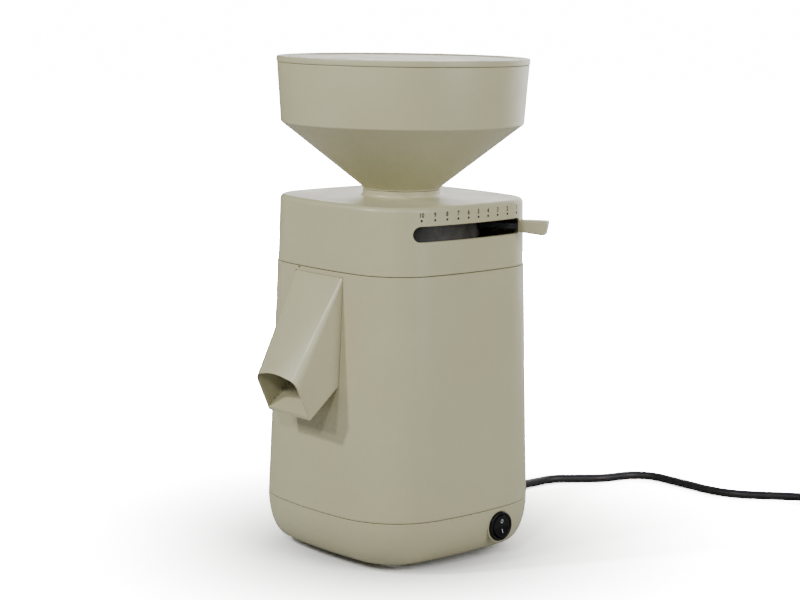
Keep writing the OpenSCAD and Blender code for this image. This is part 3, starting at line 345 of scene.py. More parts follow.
@dataclass(frozen=True)
class Finish:
    """A surface finish with fine grain, slow colour change and uneven gloss.

    Attributes:
        name: Name of the material.
        colour: sRGB colour of the clean surface.
        shade: sRGB colour that it drifts to in patches.
        roughness: Middle roughness.
        metallic: 1 for a bare metal, 0 for anything else.
        ior: Index of refraction of a surface that isn't a metal.
        grain: Spacing of the finest relief in millimetres.
        relief: Height of that relief in millimetres.
        patch: Spacing of the colour patches in millimetres.
        uneven: How far the roughness strays to both sides.
        stretch: Stretch of the grain along X, Y and Z.
        shine: Specular level, where 0.5 is that of the plain index of refraction.
    """

    name: str
    colour: str
    shade: str
    roughness: float = 0.5
    metallic: float = 0.0
    ior: float = 1.5
    grain: float = 0.8
    relief: float = 0.01
    patch: float = 25.0
    uneven: float = 0.06
    stretch: Point = (1.0, 1.0, 1.0)
    shine: float = 0.5

    def material(self) -> bpy.types.Material:
        """Makes the material on its first use and gives the same one afterwards."""
        made = bpy.data.materials.get(self.name)
        if made is None:
            made = bpy.data.materials.new(self.name)
            made.use_nodes = True
            tree = made.node_tree
            tree.nodes.clear()
            spot = add_node(tree, "ShaderNodeTexCoord").outputs["Object"]
            colour, height = self.pattern(tree, spot)
            wear = self.noise(tree, spot, self.patch * 0.4, 3.0)
            gloss = add_node(tree, "ShaderNodeMapRange", {
                "Value": wear, "From Min": 0.3, "From Max": 0.7,
                "To Min": max(self.roughness - self.uneven, 0.02),
                "To Max": min(self.roughness + self.uneven, 1.0)})
            bump = add_node(tree, "ShaderNodeBump", {
                "Height": height, "Strength": 1.0, "Distance": self.relief * MM})
            values = {"Base Color": colour, "Roughness": gloss.outputs["Result"],
                      "Metallic": self.metallic, "Normal": bump.outputs["Normal"]}
            if not self.metallic:
                values["IOR"] = self.ior
                values["Specular IOR Level"] = self.shine
            shader = add_node(tree, "ShaderNodeBsdfPrincipled", values)
            self.tune(shader)
            add_node(tree, "ShaderNodeOutputMaterial", {"Surface": shader.outputs["BSDF"]})
        return made

    def noise(self, tree: Tree, spot: Socket, spacing: float,
              detail: float = 2.0, stretch: Point = (1.0, 1.0, 1.0)) -> Socket:
        """Adds a noise pattern.

        Args:
            tree: Node tree of the material.
            spot: Coordinates that it reads, in metres.
            spacing: Spacing of its blotches in millimetres.
            detail: Octaves of finer noise.
            stretch: How much longer the blotches are along each axis.

        Returns:
            The socket with values around a half.
        """
        if stretch != (1.0, 1.0, 1.0):
            spot = add_node(tree, "ShaderNodeMapping", {
                "Vector": spot, "Scale": tuple(1 / s for s in stretch)}).outputs["Vector"]
        node = add_node(tree, "ShaderNodeTexNoise", {
            "Vector": spot, "Scale": 1 / (spacing * MM), "Detail": detail})
        return node.outputs["Fac"]

    def drift(self, tree: Tree, share: Socket, low: float = 0.35,
              high: float = 0.65) -> Socket:
        """Blends from the clean colour to the shade.

        Args:
            tree: Node tree of the material.
            share: Socket that says how far the colour has drifted.
            low: Value of the share up to which the colour is clean.
            high: Value from which it is the shade.

        Returns:
            The colour's socket.
        """
        ramp = add_node(tree, "ShaderNodeValToRGB", {"Fac": share})
        ramp.color_ramp.elements[0].position = low
        ramp.color_ramp.elements[1].position = high
        ramp.color_ramp.elements[0].color = linear(self.colour)
        ramp.color_ramp.elements[1].color = linear(self.shade)
        return ramp.outputs["Color"]

    def pattern(self, tree: Tree, spot: Socket) -> tuple[Socket, Socket]:
        """Makes the colour and the relief.

        Args:
            tree: Node tree of the material.
            spot: Object coordinates.

        Returns:
            The colour's socket and the height's socket, from 0 to 1.
        """
        return (self.drift(tree, self.noise(tree, spot, self.patch, 4.0)),
                self.noise(tree, spot, self.grain, 2.0, self.stretch))

    def tune(self, shader: bpy.types.Node) -> None:
        """Sets what is special to one finish on the shader; most have nothing."""


@dataclass(frozen=True)
class ShellPlastic(Finish):
    """Spark-eroded ABS: a fine satin grain over a slightly clouded warm beige."""

    speck: float = 1.1

    def pattern(self, tree: Tree, spot: Socket) -> tuple[Socket, Socket]:
        """Makes slow clouds in the colour and a grain of two sizes, as Finish.pattern does."""
        fine = self.noise(tree, spot, self.grain, 1.0)
        coarse = self.noise(tree, spot, self.grain * 3.2, 2.0)
        height = add_node(tree, "ShaderNodeMath", {0: fine, 1: coarse}, operation="ADD")
        cloud = self.noise(tree, spot, self.patch, 3.0)
        fleck = self.noise(tree, spot, self.speck, 1.0)
        share = add_node(tree, "ShaderNodeMix", {"Factor": 0.25, "A": cloud, "B": fleck})
        return self.drift(tree, share.outputs["Result"], 0.3, 0.7), height.outputs["Value"]


@dataclass(frozen=True)
class LayeredSteel(Finish):
    """Stacked varnished sheets: thin dark lines all round, one for each sheet."""

    sheet: float = 1.5

    def pattern(self, tree: Tree, spot: Socket) -> tuple[Socket, Socket]:
        """Makes level lines, as Finish.pattern does; sheets of 0.5 mm are drawn as 1.5 mm."""
        wave = add_node(tree, "ShaderNodeTexWave", {
            "Vector": spot, "Scale": WAVE_PERIOD / (self.sheet * MM), "Distortion": 0.4,
            "Detail": 1.0}, wave_type="BANDS", bands_direction="Z")
        return self.drift(tree, wave.outputs["Fac"], 0.1, 0.9), wave.outputs["Fac"]


@dataclass(frozen=True)
class WoundWire(Finish):
    """Enamelled wire wound in a ring: round strands side by side with amber varnish."""

    strand: float = 1.2

    def pattern(self, tree: Tree, spot: Socket) -> tuple[Socket, Socket]:
        """Makes rings round the axis and over the height, as Finish.pattern does."""
        rings = add_node(tree, "ShaderNodeTexWave", {
            "Vector": spot, "Scale": WAVE_PERIOD / (self.strand * MM), "Distortion": 1.2,
            "Detail": 2.0, "Detail Scale": 1.0},
            wave_type="RINGS", rings_direction="Z", wave_profile="SIN")
        return self.drift(tree, rings.outputs["Fac"], 0.0, 0.9), rings.outputs["Fac"]


@dataclass(frozen=True)
class BondedGrit(Finish):
    """Corundum grit bonded by firing: grains of a millimetre, pale with grey ones."""

    def pattern(self, tree: Tree, spot: Socket) -> tuple[Socket, Socket]:
        """Makes cells of one grain each, as Finish.pattern does."""
        cells = add_node(tree, "ShaderNodeTexVoronoi", {
            "Vector": spot, "Scale": 1 / (self.grain * MM)}, feature="F1")
        tone = add_node(tree, "ShaderNodeSeparateColor", {"Color": cells.outputs["Color"]})
        return self.drift(tree, tone.outputs["Red"], 0.1, 0.95), cells.outputs["Distance"]


@dataclass(frozen=True)
class WovenTape(Finish):
    """Woven hook-and-loop tape: crossing threads a millimetre apart, dull and soft."""

    thread: float = 0.9

    def pattern(self, tree: Tree, spot: Socket) -> tuple[Socket, Socket]:
        """Makes two crossing sets of threads, as Finish.pattern does."""
        waves = [add_node(tree, "ShaderNodeTexWave", {
            "Vector": spot, "Scale": WAVE_PERIOD / (self.thread * MM), "Distortion": 0.2},
            wave_type="BANDS", bands_direction=way).outputs["Fac"] for way in ("DIAGONAL", "Z")]
        weave = add_node(tree, "ShaderNodeMath", {0: waves[0], 1: waves[1]}, operation="MULTIPLY")
        return self.drift(tree, weave.outputs["Value"], 0.0, 1.0), weave.outputs["Value"]

    def tune(self, shader: bpy.types.Node) -> None:
        """Gives the tape's loops their soft sheen."""
        shader.inputs["Sheen Weight"].default_value = 0.4
        shader.inputs["Sheen Roughness"].default_value = 0.6


class Finishes(Enum):
    """All finishes of the mill."""

    # Injection-moulded ABS: satin, warm beige, with the mould's fine spark grain.
    # The real grain of 0.1 mm is drawn at 0.7 mm so that it shows.
    SHELL = ShellPlastic("abs_spark_grain_beige", "#B4B190", "#AFAB88", 0.4, 0.0, 1.53,
                         0.7, 0.012, 60.0, 0.05)
    # Glass-filled nylon: black with a dull grain from the fibres.
    NYLON = Finish("nylon_glass_filled_black", "#1B1B1D", "#232325", 0.5, 0.0, 1.53, 0.9, 0.02)
    # The same black nylon, coloured dark grey with darker patches: the grey is a painted sheen for
    # the reflections on the ring.
    RING = Finish("nylon_grey_painted_sheen", "#5A5954", "#3E3D3A", 0.38, 0.0, 1.53, 0.8, 0.02, 12.0,
                  0.08, (1.0, 1.0, 0.15))
    # Polycarbonate of the switch: smooth, deep black, with a clear gloss.
    SWITCH = Finish("polycarbonate_gloss_black", "#050507", "#09090C", 0.3, 0.0, 1.5, 0.5, 0.003,
                    9.0, 0.05, (1.0, 1.0, 1.0), 0.2)
    # Pad-printed ink: dull grey-black with slightly uneven cover.
    INK = Finish("pad_print_ink_grey", "#161614", "#22221F", 0.6, 0.0, 1.5, 0.4, 0.004, 1.2)
    # Pad-printed ink of the switch: off-white.
    PALE_INK = Finish("pad_print_ink_white", "#B9BCC0", "#A6A9AE", 0.55, 0.0, 1.5, 0.4, 0.004, 1.0)
    # Silicone rubber of the feet: milky, soft, slightly dusty; its nearly white colour is partly
    # painted light that lifts the feet in the shade under the base.
    FOOT = Finish("silicone_milky_painted_light", "#EFEEE6", "#E2E1D8", 0.5, 0.0, 1.43, 1.2, 0.02, 8.0)
    # Moulded rubber: matt black with a fine bloom.
    RUBBER = Finish("moulded_rubber_black", "#161617", "#202021", 0.62, 0.0, 1.52, 0.7, 0.02, 6.0)
    # PVC sheath of the cord: matt black with a fine grain.
    SHEATH = Finish("pvc_sheath_black", "#18181A", "#232325", 0.44, 0.0, 1.53, 0.8, 0.015, 14.0,
                    0.07)
    # Woven hook-and-loop tape round the coil.
    TAPE = WovenTape("hook_and_loop_tape", "#232326", "#101012", 0.85, 0.0, 1.5, 0.9, 0.12)
    # Zinc-plated steel: cool grey, faintly clouded passivation.
    ZINC = Finish("steel_zinc_plated", "#B8BCC2", "#A9A6B2", 0.32, 1.0, 1.5, 0.5, 0.004, 3.0)
    # Flat steel with a black phosphate coat.
    PHOSPHATE = Finish("steel_phosphate_black", "#26272A", "#34353A", 0.42, 0.6, 1.5, 0.6, 0.008,
                       5.0)
    # Ground bearing steel: bright, with fine grinding lines round the axis.
    GROUND = Finish("steel_ground_bright", "#C9CACC", "#B9BABD", 0.2, 1.0, 1.5, 0.25, 0.003, 6.0,
                    0.05, (1.0, 1.0, 0.1))
    # Die-cast aluminium: pale grey, with the frosted skin of the die.
    CAST = Finish("aluminium_die_cast", "#A3A5A7", "#8F9194", 0.45, 1.0, 1.5, 1.4, 0.03, 14.0,
                  0.1)
    # Laminated electrical steel of the motor's core.
    CORE = LayeredSteel("steel_laminated_core", "#77787C", "#4B4C50", 0.45, 0.8, 1.5, 1.5, 0.06)
    # Enamelled copper wire of the windings.
    COPPER = WoundWire("copper_enamelled_wire", "#A8572B", "#6E3317", 0.32, 0.7, 1.5, 1.2, 0.3)
    # Nylon for food: milky white, slightly waxy.
    WHITE = Finish("nylon_food_white", "#E3E1D6", "#D8D5C8", 0.42, 0.0, 1.53, 1.0, 0.01, 18.0)
    # Corundum in a ceramic bond.
    STONE = BondedGrit("corundum_ceramic_bond", "#C9C4B8", "#9C978C", 0.85, 0.0, 1.6, 1.1, 0.25)
    # Brass of the switch's contacts.
    BRASS = Finish("brass_bare", "#C8A55A", "#B08E48", 0.28, 1.0, 1.5, 0.5, 0.003, 4.0)
    # Nickel plating of the plug's pins: bright and faintly warm.
    NICKEL = Finish("nickel_plated_brass", "#CFCBC2", "#C2BDB2", 0.18, 1.0, 1.5, 0.4, 0.002, 4.0,
                    0.04)
    # PVC insulation of the lead wires: smooth and brown.
    WIRE_BROWN = Finish("pvc_wire_brown", "#5B3318", "#4C2A13", 0.4, 0.0, 1.53, 0.6, 0.01, 5.0)


# ---- Meshes ----


def link(name: str, data: bpy.types.ID) -> Piece:
    """Makes an object of some data and links it to the scene."""
    piece = bpy.data.objects.new(name, data)
    bpy.context.scene.collection.objects.link(piece)
    return piece


def make_object(name: str, points: Iterable[Sequence[float]], faces: Iterable[Sequence[int]],
                finish: Finishes) -> Piece:
    """Makes a mesh object from millimetre points.

    Args:
        name: Name of the piece.
        points: Corners in millimetres.
        faces: Corner numbers of each face.
        finish: Finish of the whole piece.

    Returns:
        The object, at the origin, linked to the scene.
    """
    mesh = bpy.data.meshes.new(name)
    mesh.from_pydata([tuple(c * MM for c in p) for p in points], [], [tuple(f) for f in faces])
    mesh.materials.append(finish.value.material())
    return link(name, mesh)


def bake(piece: Piece) -> Piece:
    """Turns a piece and its modifiers into a plain mesh.

    Args:
        piece: Object with modifiers.

    Returns:
        The same object without modifiers.
    """
    piece.data = bpy.data.meshes.new_from_object(
        piece.evaluated_get(bpy.context.evaluated_depsgraph_get()))
    piece.modifiers.clear()
    return piece


def rework(piece: Piece, work: Callable[[bmesh.types.BMesh], None]) -> Piece:
    """Opens a piece's mesh, runs some work on it and stores it.

    Args:
        piece: Object whose mesh changes.
        work: What is done to the open mesh.

    Returns:
        The same object.
    """
    mesh = bmesh.new()
    mesh.from_mesh(piece.data)
    work(mesh)
    mesh.to_mesh(piece.data)
    mesh.free()
    return piece


def soften(piece: Piece, limit: float = 32.0, merge: float = 0.002) -> Piece:
    """Merges doubles, turns faces outwards and shades smooth except over sharp edges.

    Args:
        piece: Object whose mesh is finished.
        limit: Angle in degrees from which an edge stays sharp.
        merge: Distance in millimetres at which corners become one.

    Returns:
        The same object.
    """
    def work(mesh: bmesh.types.BMesh) -> None:
        """Cleans and shades the open mesh."""
        bmesh.ops.remove_doubles(mesh, verts=mesh.verts, dist=merge * MM)
        bmesh.ops.recalc_face_normals(mesh, faces=mesh.faces)
        for face in mesh.faces:
            face.smooth = True
        for edge in mesh.edges:
            edge.smooth = (len(edge.link_faces) == 2
                           and edge.calc_face_angle(0.0) < math.radians(limit))
    return rework(piece, work)


def weigh_normals(piece: Piece) -> Piece:
    """Lets large faces set the shading, so that cuts leave no smears.

    Args:
        piece: Object that has its sharp edges marked.

    Returns:
        The same object with the normals stored.
    """
    step = piece.modifiers.new("normals", "WEIGHTED_NORMAL")
    step.keep_sharp = True
    step.weight = 80
    return bake(piece)


def round_edges(piece: Piece, width: float, segments: int, limit: float) -> Piece:
    """Rounds every edge that is sharper than an angle.

    Args:
        piece: Object whose edges are rounded.
        width: Width of the rounding in millimetres.
        segments: Steps of the rounding.
        limit: Angle in degrees.

    Returns:
        The same object.
    """
    rim = piece.modifiers.new("soft_edges", "BEVEL")
    rim.width = width * MM
    rim.segments = segments
    rim.limit_method = "ANGLE"
    rim.angle_limit = math.radians(limit)
    return bake(piece)


def cut(piece: Piece, cutters: Sequence[Piece],
        how: str = "DIFFERENCE") -> Piece:
    """Cuts closed shapes out of a piece, or joins them to it.

    Args:
        piece: Closed object that is worked on.
        cutters: Closed objects that are used up.
        how: DIFFERENCE to cut, UNION to join.

    Returns:
        The same object.
    """
    for cutter in cutters:
        step = piece.modifiers.new("cut", "BOOLEAN")
        step.operation = how
        step.solver = "EXACT"
        step.object = cutter
    bake(piece)
    for cutter in cutters:
        bpy.data.objects.remove(cutter)
    return piece


def join(pieces: Sequence[Piece]) -> Piece:
    """Joins pieces into the first one, with their materials.

    Args:
        pieces: Objects at the origin; all but the first are used up.

    Returns:
        The first object.
    """
    first = pieces[0]
    mesh = bmesh.new()
    for piece in pieces:
        start = len(mesh.faces)
        mesh.from_mesh(piece.data)
        slots = []
        for made in piece.data.materials:
            if made.name not in first.data.materials:
                first.data.materials.append(made)
            slots.append(first.data.materials.find(made.name))
        mesh.faces.ensure_lookup_table()
        for face in mesh.faces[start:]:
            face.material_index = slots[face.material_index] if slots else 0
    mesh.to_mesh(first.data)
    mesh.free()
    for piece in pieces[1:]:
        bpy.data.objects.remove(piece)
    return first


def outline(half: float, corner: float, bulge: float, level: float, steps: int = 20) -> Ring:
    """Draws a square with bulged sides and round corners.

    Args:
        half: Half of the width without the bulge.
        corner: Corner radius.
        bulge: How far each side bulges.
        level: Height of the ring.
        steps: Steps along each side, and along each corner.

    Returns:
        Points around the axis, counter-clockwise.
    """
    flat = half - corner
    lean = math.atan(2 * bulge / flat)
    bend = corner / (math.cos(lean) - math.sin(lean))
    quarter = []
    for i in range(steps + 1):
        along = flat * (2 * i / steps - 1)
        quarter.append((half + bulge * (1 - (along / flat) ** 2), along))
    for i in range(1, steps):
        angle = mix(lean, math.pi / 2 - lean, i / steps)
        quarter.append((half - bend * math.cos(lean) + bend * math.cos(angle),
                        flat - bend * math.sin(lean) + bend * math.sin(angle)))
    ring = [(x, y, level) for x, y in quarter]
    whole = list(ring)
    for turn in range(1, 4):
        for x, y, z in ring:
            for _ in range(turn):
                x, y = -y, x
            whole.append((x, y, z))
    return whole


def circle_like(ring: Ring, radius: float, level: float) -> Ring:
    """Draws a circle whose points lie at the same angles as those of a ring.

    Args:
        ring: Ring that gives the angles.
        radius: Radius of the circle.
        level: Height of the circle.

    Returns:
        Points of the circle.
    """
    return [(radius * x / math.hypot(x, y), radius * y / math.hypot(x, y), level)
            for x, y, _ in ring]


def skin(rings: Sequence[Ring], closed: bool = True) -> tuple[list[Point], Faces]:
    """Lays faces between rings of the same number of points.

    Args:
        rings: Rings in order; a closed skin comes back from the last to the first.
        closed: Whether it comes back, or ends in two flat caps.

    Returns:
        Points and faces.
    """
    count = len(rings[0])
    points = [p for ring in rings for p in ring]
    faces: Faces = []
    spans = len(rings) if closed else len(rings) - 1
    for i in range(spans):
        low, high = i * count, (i + 1) % len(rings) * count
        for j in range(count):
            nxt = (j + 1) % count
            faces.append((low + j, low + nxt, high + nxt, high + j))
    if not closed:
        faces.append(tuple(reversed(range(count))))
        faces.append(tuple(range(spans * count, (spans + 1) * count)))
    return points, faces


def edge_stations(level: float, way: int, radius: float, steps: int = 3) -> list[Pair]:
    """Stations of a rounded edge, from the flat end face to the wall.

    Args:
        level: Height of the end face.
        way: 1 when the wall lies above the end face, -1 when below.
        radius: Radius of the rounding.
        steps: Steps of the rounding.

    Returns:
        Pairs of inset and height.
    """
    return [(radius * (1 - math.sin(a)), level + way * radius * (1 - math.cos(a)))
            for a in (math.pi / 2 * k / steps for k in range(steps + 1))]


def turned_points(profile: Sequence[Pair], steps: int) -> tuple[list[Point], Faces]:
    """Turns a closed profile of radius and height round the Z axis.

    Args:
        profile: Corners of the profile; those at radius 0 become poles.
        steps: Steps around.

    Returns:
        Points and faces.
    """
    points: list[Point] = []
    starts = []
    for radius, level in profile:
        starts.append(len(points))
        if radius < 1e-6:
            points.append((0.0, 0.0, level))
        else:
            points += [(radius * math.cos(2 * math.pi * k / steps),
                        radius * math.sin(2 * math.pi * k / steps), level) for k in range(steps)]
    faces: Faces = []
    for i, (radius, _) in enumerate(profile):
        after = (i + 1) % len(profile)
        if radius < 1e-6 and profile[after][0] < 1e-6:
            continue
        for k in range(steps):
            nxt = (k + 1) % steps
            low = (starts[i],) if radius < 1e-6 else (starts[i] + k, starts[i] + nxt)
            high = ((starts[after],) if profile[after][0] < 1e-6
                    else (starts[after] + nxt, starts[after] + k))
            faces.append(low + high)
    return points, faces


def rounded(corners: Sequence[tuple[float, float, float]], steps: int = 4) -> list[Pair]:
    """Rounds the corners of a closed profile.

    Args:
        corners: Radius, height and rounding of each corner.
        steps: Steps of each rounding.

    Returns:
        The profile with the roundings as short straights.
    """
    drawn = []
    count = len(corners)
    for i, (x, z, radius) in enumerate(corners):
        here = Vector((x, z))
        if radius <= 0:
            drawn.append((x, z))
            continue
        back = Vector(corners[i - 1][:2]) - here
        ahead = Vector(corners[(i + 1) % count][:2]) - here
        half = back.angle(ahead) / 2
        reach = min(radius / math.tan(half), back.length * 0.49, ahead.length * 0.49)
        bend = reach * math.tan(half)
        u, v = back.normalized(), ahead.normalized()
        middle = here + (u + v).normalized() * bend / math.sin(half)
        first, last = here + u * reach - middle, here + v * reach - middle
        turn = math.pi - 2 * half
        for k in range(steps + 1):
            share = turn * k / steps
            spot = middle + (first * math.sin(turn - share)
                             + last * math.sin(share)) / math.sin(turn)
            drawn.append((spot.x, spot.y))
    return drawn


def turned(name: str, profile: Sequence[Pair], finish: Finishes, steps: int = 64,
           place: Matrix | None = None) -> Piece:
    """Makes a turned piece.

    Args:
        name: Name of the piece.
        profile: Closed profile of radius and height, in millimetres.
        finish: Finish of the piece.
        steps: Steps around.
        place: Where the piece's own Z axis and origin go, in millimetres.

    Returns:
        The object.
    """
    points, faces = turned_points(profile, steps)
    if place is not None:
        points = [tuple(place @ Vector(p)) for p in points]
    return soften(make_object(name, points, faces, finish))


def upright(x: float, y: float) -> Matrix:
    """Places a piece's own Z axis on a vertical line."""
    return Matrix.Translation((x, y, 0))


def along_x(x: float, y: float, z: float) -> Matrix:
    """Places a piece's own Z axis along +X."""
    return Matrix.Translation((x, y, z)) @ Matrix.Rotation(math.pi / 2, 4, "Y")


def along_y(x: float, y: float, z: float) -> Matrix:
    """Places a piece's own Z axis along +Y."""
    return Matrix.Translation((x, y, z)) @ Matrix.Rotation(-math.pi / 2, 4, "X")


def rod(radius: float, low: float, high: float, place: Matrix | None = None,
        steps: int = 48) -> Piece:
    """Makes a plain round cutter or core that never stays a piece of its own.

    Args:
        radius: Radius of the rod.
        low: Height of its lower end.
        high: Height of its upper end.
        place: Where its own Z axis and origin go.
        steps: Steps around.

    Returns:
        The object.
    """
    profile = [(0.0, low), (radius, low), (radius, high), (0.0, high)]
    return turned("core", profile, Finishes.SHELL, steps, place)


def box_core(low: Point, high: Point, finish: Finishes = Finishes.SHELL) -> Piece:
    """Makes a block between two corners, for cuts and joins.

    Args:
        low: Lowest corner.
        high: Highest corner.
        finish: Finish that its faces leave behind.

    Returns:
        The object.
    """
    points = [(x, y, z) for x in (low[0], high[0]) for y in (low[1], high[1])
              for z in (low[2], high[2])]
    faces = [(0, 1, 3, 2), (4, 6, 7, 5), (0, 4, 5, 1), (2, 3, 7, 6), (0, 2, 6, 4), (1, 5, 7, 3)]
    return soften(make_object("core", points, faces, finish))


# ---- Geometry Nodes ----


class MeshRecipe:
    """A tree of mesh nodes that is built in code, run once on a piece and baked."""

    def __init__(self, name: str, sizes: dict[str, str]) -> None:
        """Starts the tree.

        Args:
            name: Name of the tree.
            sizes: Name of each input to its socket type.
        """
        self.tree = bpy.data.node_groups.new(name, "GeometryNodeTree")
        self.tree.interface.new_socket(name="Geometry", in_out="INPUT",
                                       socket_type="NodeSocketGeometry")
        self.keys: dict[str, str] = {}
        for label, kind in sizes.items():
            socket = self.tree.interface.new_socket(name=label, in_out="INPUT", socket_type=kind)
            self.keys[label] = socket.identifier
        self.tree.interface.new_socket(name="Geometry", in_out="OUTPUT",
                                       socket_type="NodeSocketGeometry")
        self.start = self.tree.nodes.new("NodeGroupInput")

    def add(self, kind: str, inputs: dict | None = None,
            **settings: object) -> bpy.types.Node:
        """Adds a node, as add_node does."""
        return add_node(self.tree, kind, inputs, **settings)

    def end(self, shape: Socket) -> None:
        """Ends the tree in real geometry with its finish.

        Args:
            shape: Socket with the finished shape.
        """
        real = self.add("GeometryNodeRealizeInstances", {"Geometry": shape})
        dressed = self.add("GeometryNodeSetMaterial", {
            "Geometry": real.outputs["Geometry"], "Material": self.start.outputs["Finish"]})
        self.add("NodeGroupOutput", {"Geometry": dressed.outputs["Geometry"]})

    def run(self, piece: Piece, values: dict) -> Piece:
        """Runs the tree on a piece and bakes it.

        Args:
            piece: Object whose mesh the tree starts from.
            values: Value of each named input.

        Returns:
            The same object with the result as its mesh.
        """
        step = piece.modifiers.new(self.tree.name, "NODES")
        step.node_group = self.tree
        for label, value in values.items():
            step[self.keys[label]] = value
        return bake(piece)


class TurningRecipe(MeshRecipe):
    """Turns a drawn profile round the mill's axis."""

    def __init__(self) -> None:
        """Builds the tree: the profile runs round a circle."""
        super().__init__("turning", {"Steps": "NodeSocketInt", "Axis Radius": "NodeSocketFloat",
                                     "Finish": "NodeSocketMaterial"})
        path = self.add("GeometryNodeCurvePrimitiveCircle", {
            "Resolution": self.start.outputs["Steps"], "Radius": self.start.outputs["Axis Radius"]})
        line = self.add("GeometryNodeMeshToCurve", {"Mesh": self.start.outputs["Geometry"]})
        swept = self.add("GeometryNodeCurveToMesh", {
            "Curve": path.outputs["Curve"], "Profile Curve": line.outputs["Curve"]})
        self.end(swept.outputs["Mesh"])

    def turn(self, name: str, profile: Sequence[Pair], finish: Finishes,
             steps: int = 160) -> Piece:
        """Turns one piece.

        Args:
            name: Name of the piece.
            profile: Closed profile of radius and height, clear of the axis.
            finish: Finish of the piece.
            steps: Steps around.

        Returns:
            The object.
        """
        mean = 20.0
        mesh = bpy.data.meshes.new(name)
        count = len(profile)
        mesh.from_pydata([((r - mean) * MM, -z * MM, 0.0) for r, z in profile],
                         [(i, (i + 1) % count) for i in range(count)], [])
        return self.run(link(name, mesh), {
            "Steps": steps, "Axis Radius": mean * MM, "Finish": finish.value.material()})


class RepeatRecipe(MeshRecipe):
    """Sets one small shape on every point of a piece, each turned to face its own way."""

    def __init__(self) -> None:
        """Builds the tree: the shape's own Z axis goes along the point's facing."""
        super().__init__("repeat_on_points",
                         {"Shape": "NodeSocketObject", "Scale": "NodeSocketFloat",
                                              "Finish": "NodeSocketMaterial"})
        facing = self.add("GeometryNodeInputNamedAttribute", {"Name": "facing"},
                          data_type="FLOAT_VECTOR")
        turn = self.add("FunctionNodeAlignRotationToVector", {
            "Vector": facing.outputs["Attribute"]}, axis="Z")
        shape = self.add("GeometryNodeObjectInfo", {"Object": self.start.outputs["Shape"]},
                         transform_space="ORIGINAL")
        sown = self.add("GeometryNodeInstanceOnPoints", {
            "Points": self.start.outputs["Geometry"], "Instance": shape.outputs["Geometry"],
            "Rotation": turn.outputs["Rotation"], "Scale": self.start.outputs["Scale"]})
        self.end(sown.outputs["Instances"])

    def repeat(self, name: str, shape: Piece,
               spots: Sequence[tuple[Point, Point]], finish: Finishes) -> Piece:
        """Repeats one shape.

        Args:
            name: Name of the piece.
            shape: Small object at the origin, which is used up.
            spots: Place in millimetres and facing of each copy.
            finish: Finish of the piece.

        Returns:
            The object with all copies.
        """
        mesh = bpy.data.meshes.new(name)
        mesh.from_pydata([tuple(c * MM for c in place) for place, _ in spots], [], [])
        facing = mesh.attributes.new("facing", "FLOAT_VECTOR", "POINT")
        for i, (_, way) in enumerate(spots):
            facing.data[i].vector = way
        piece = self.run(link(name, mesh), {
            "Shape": shape, "Scale": 1.0, "Finish": finish.value.material()})
        bpy.data.objects.remove(shape)
        return piece


# ---- Studio and camera ----


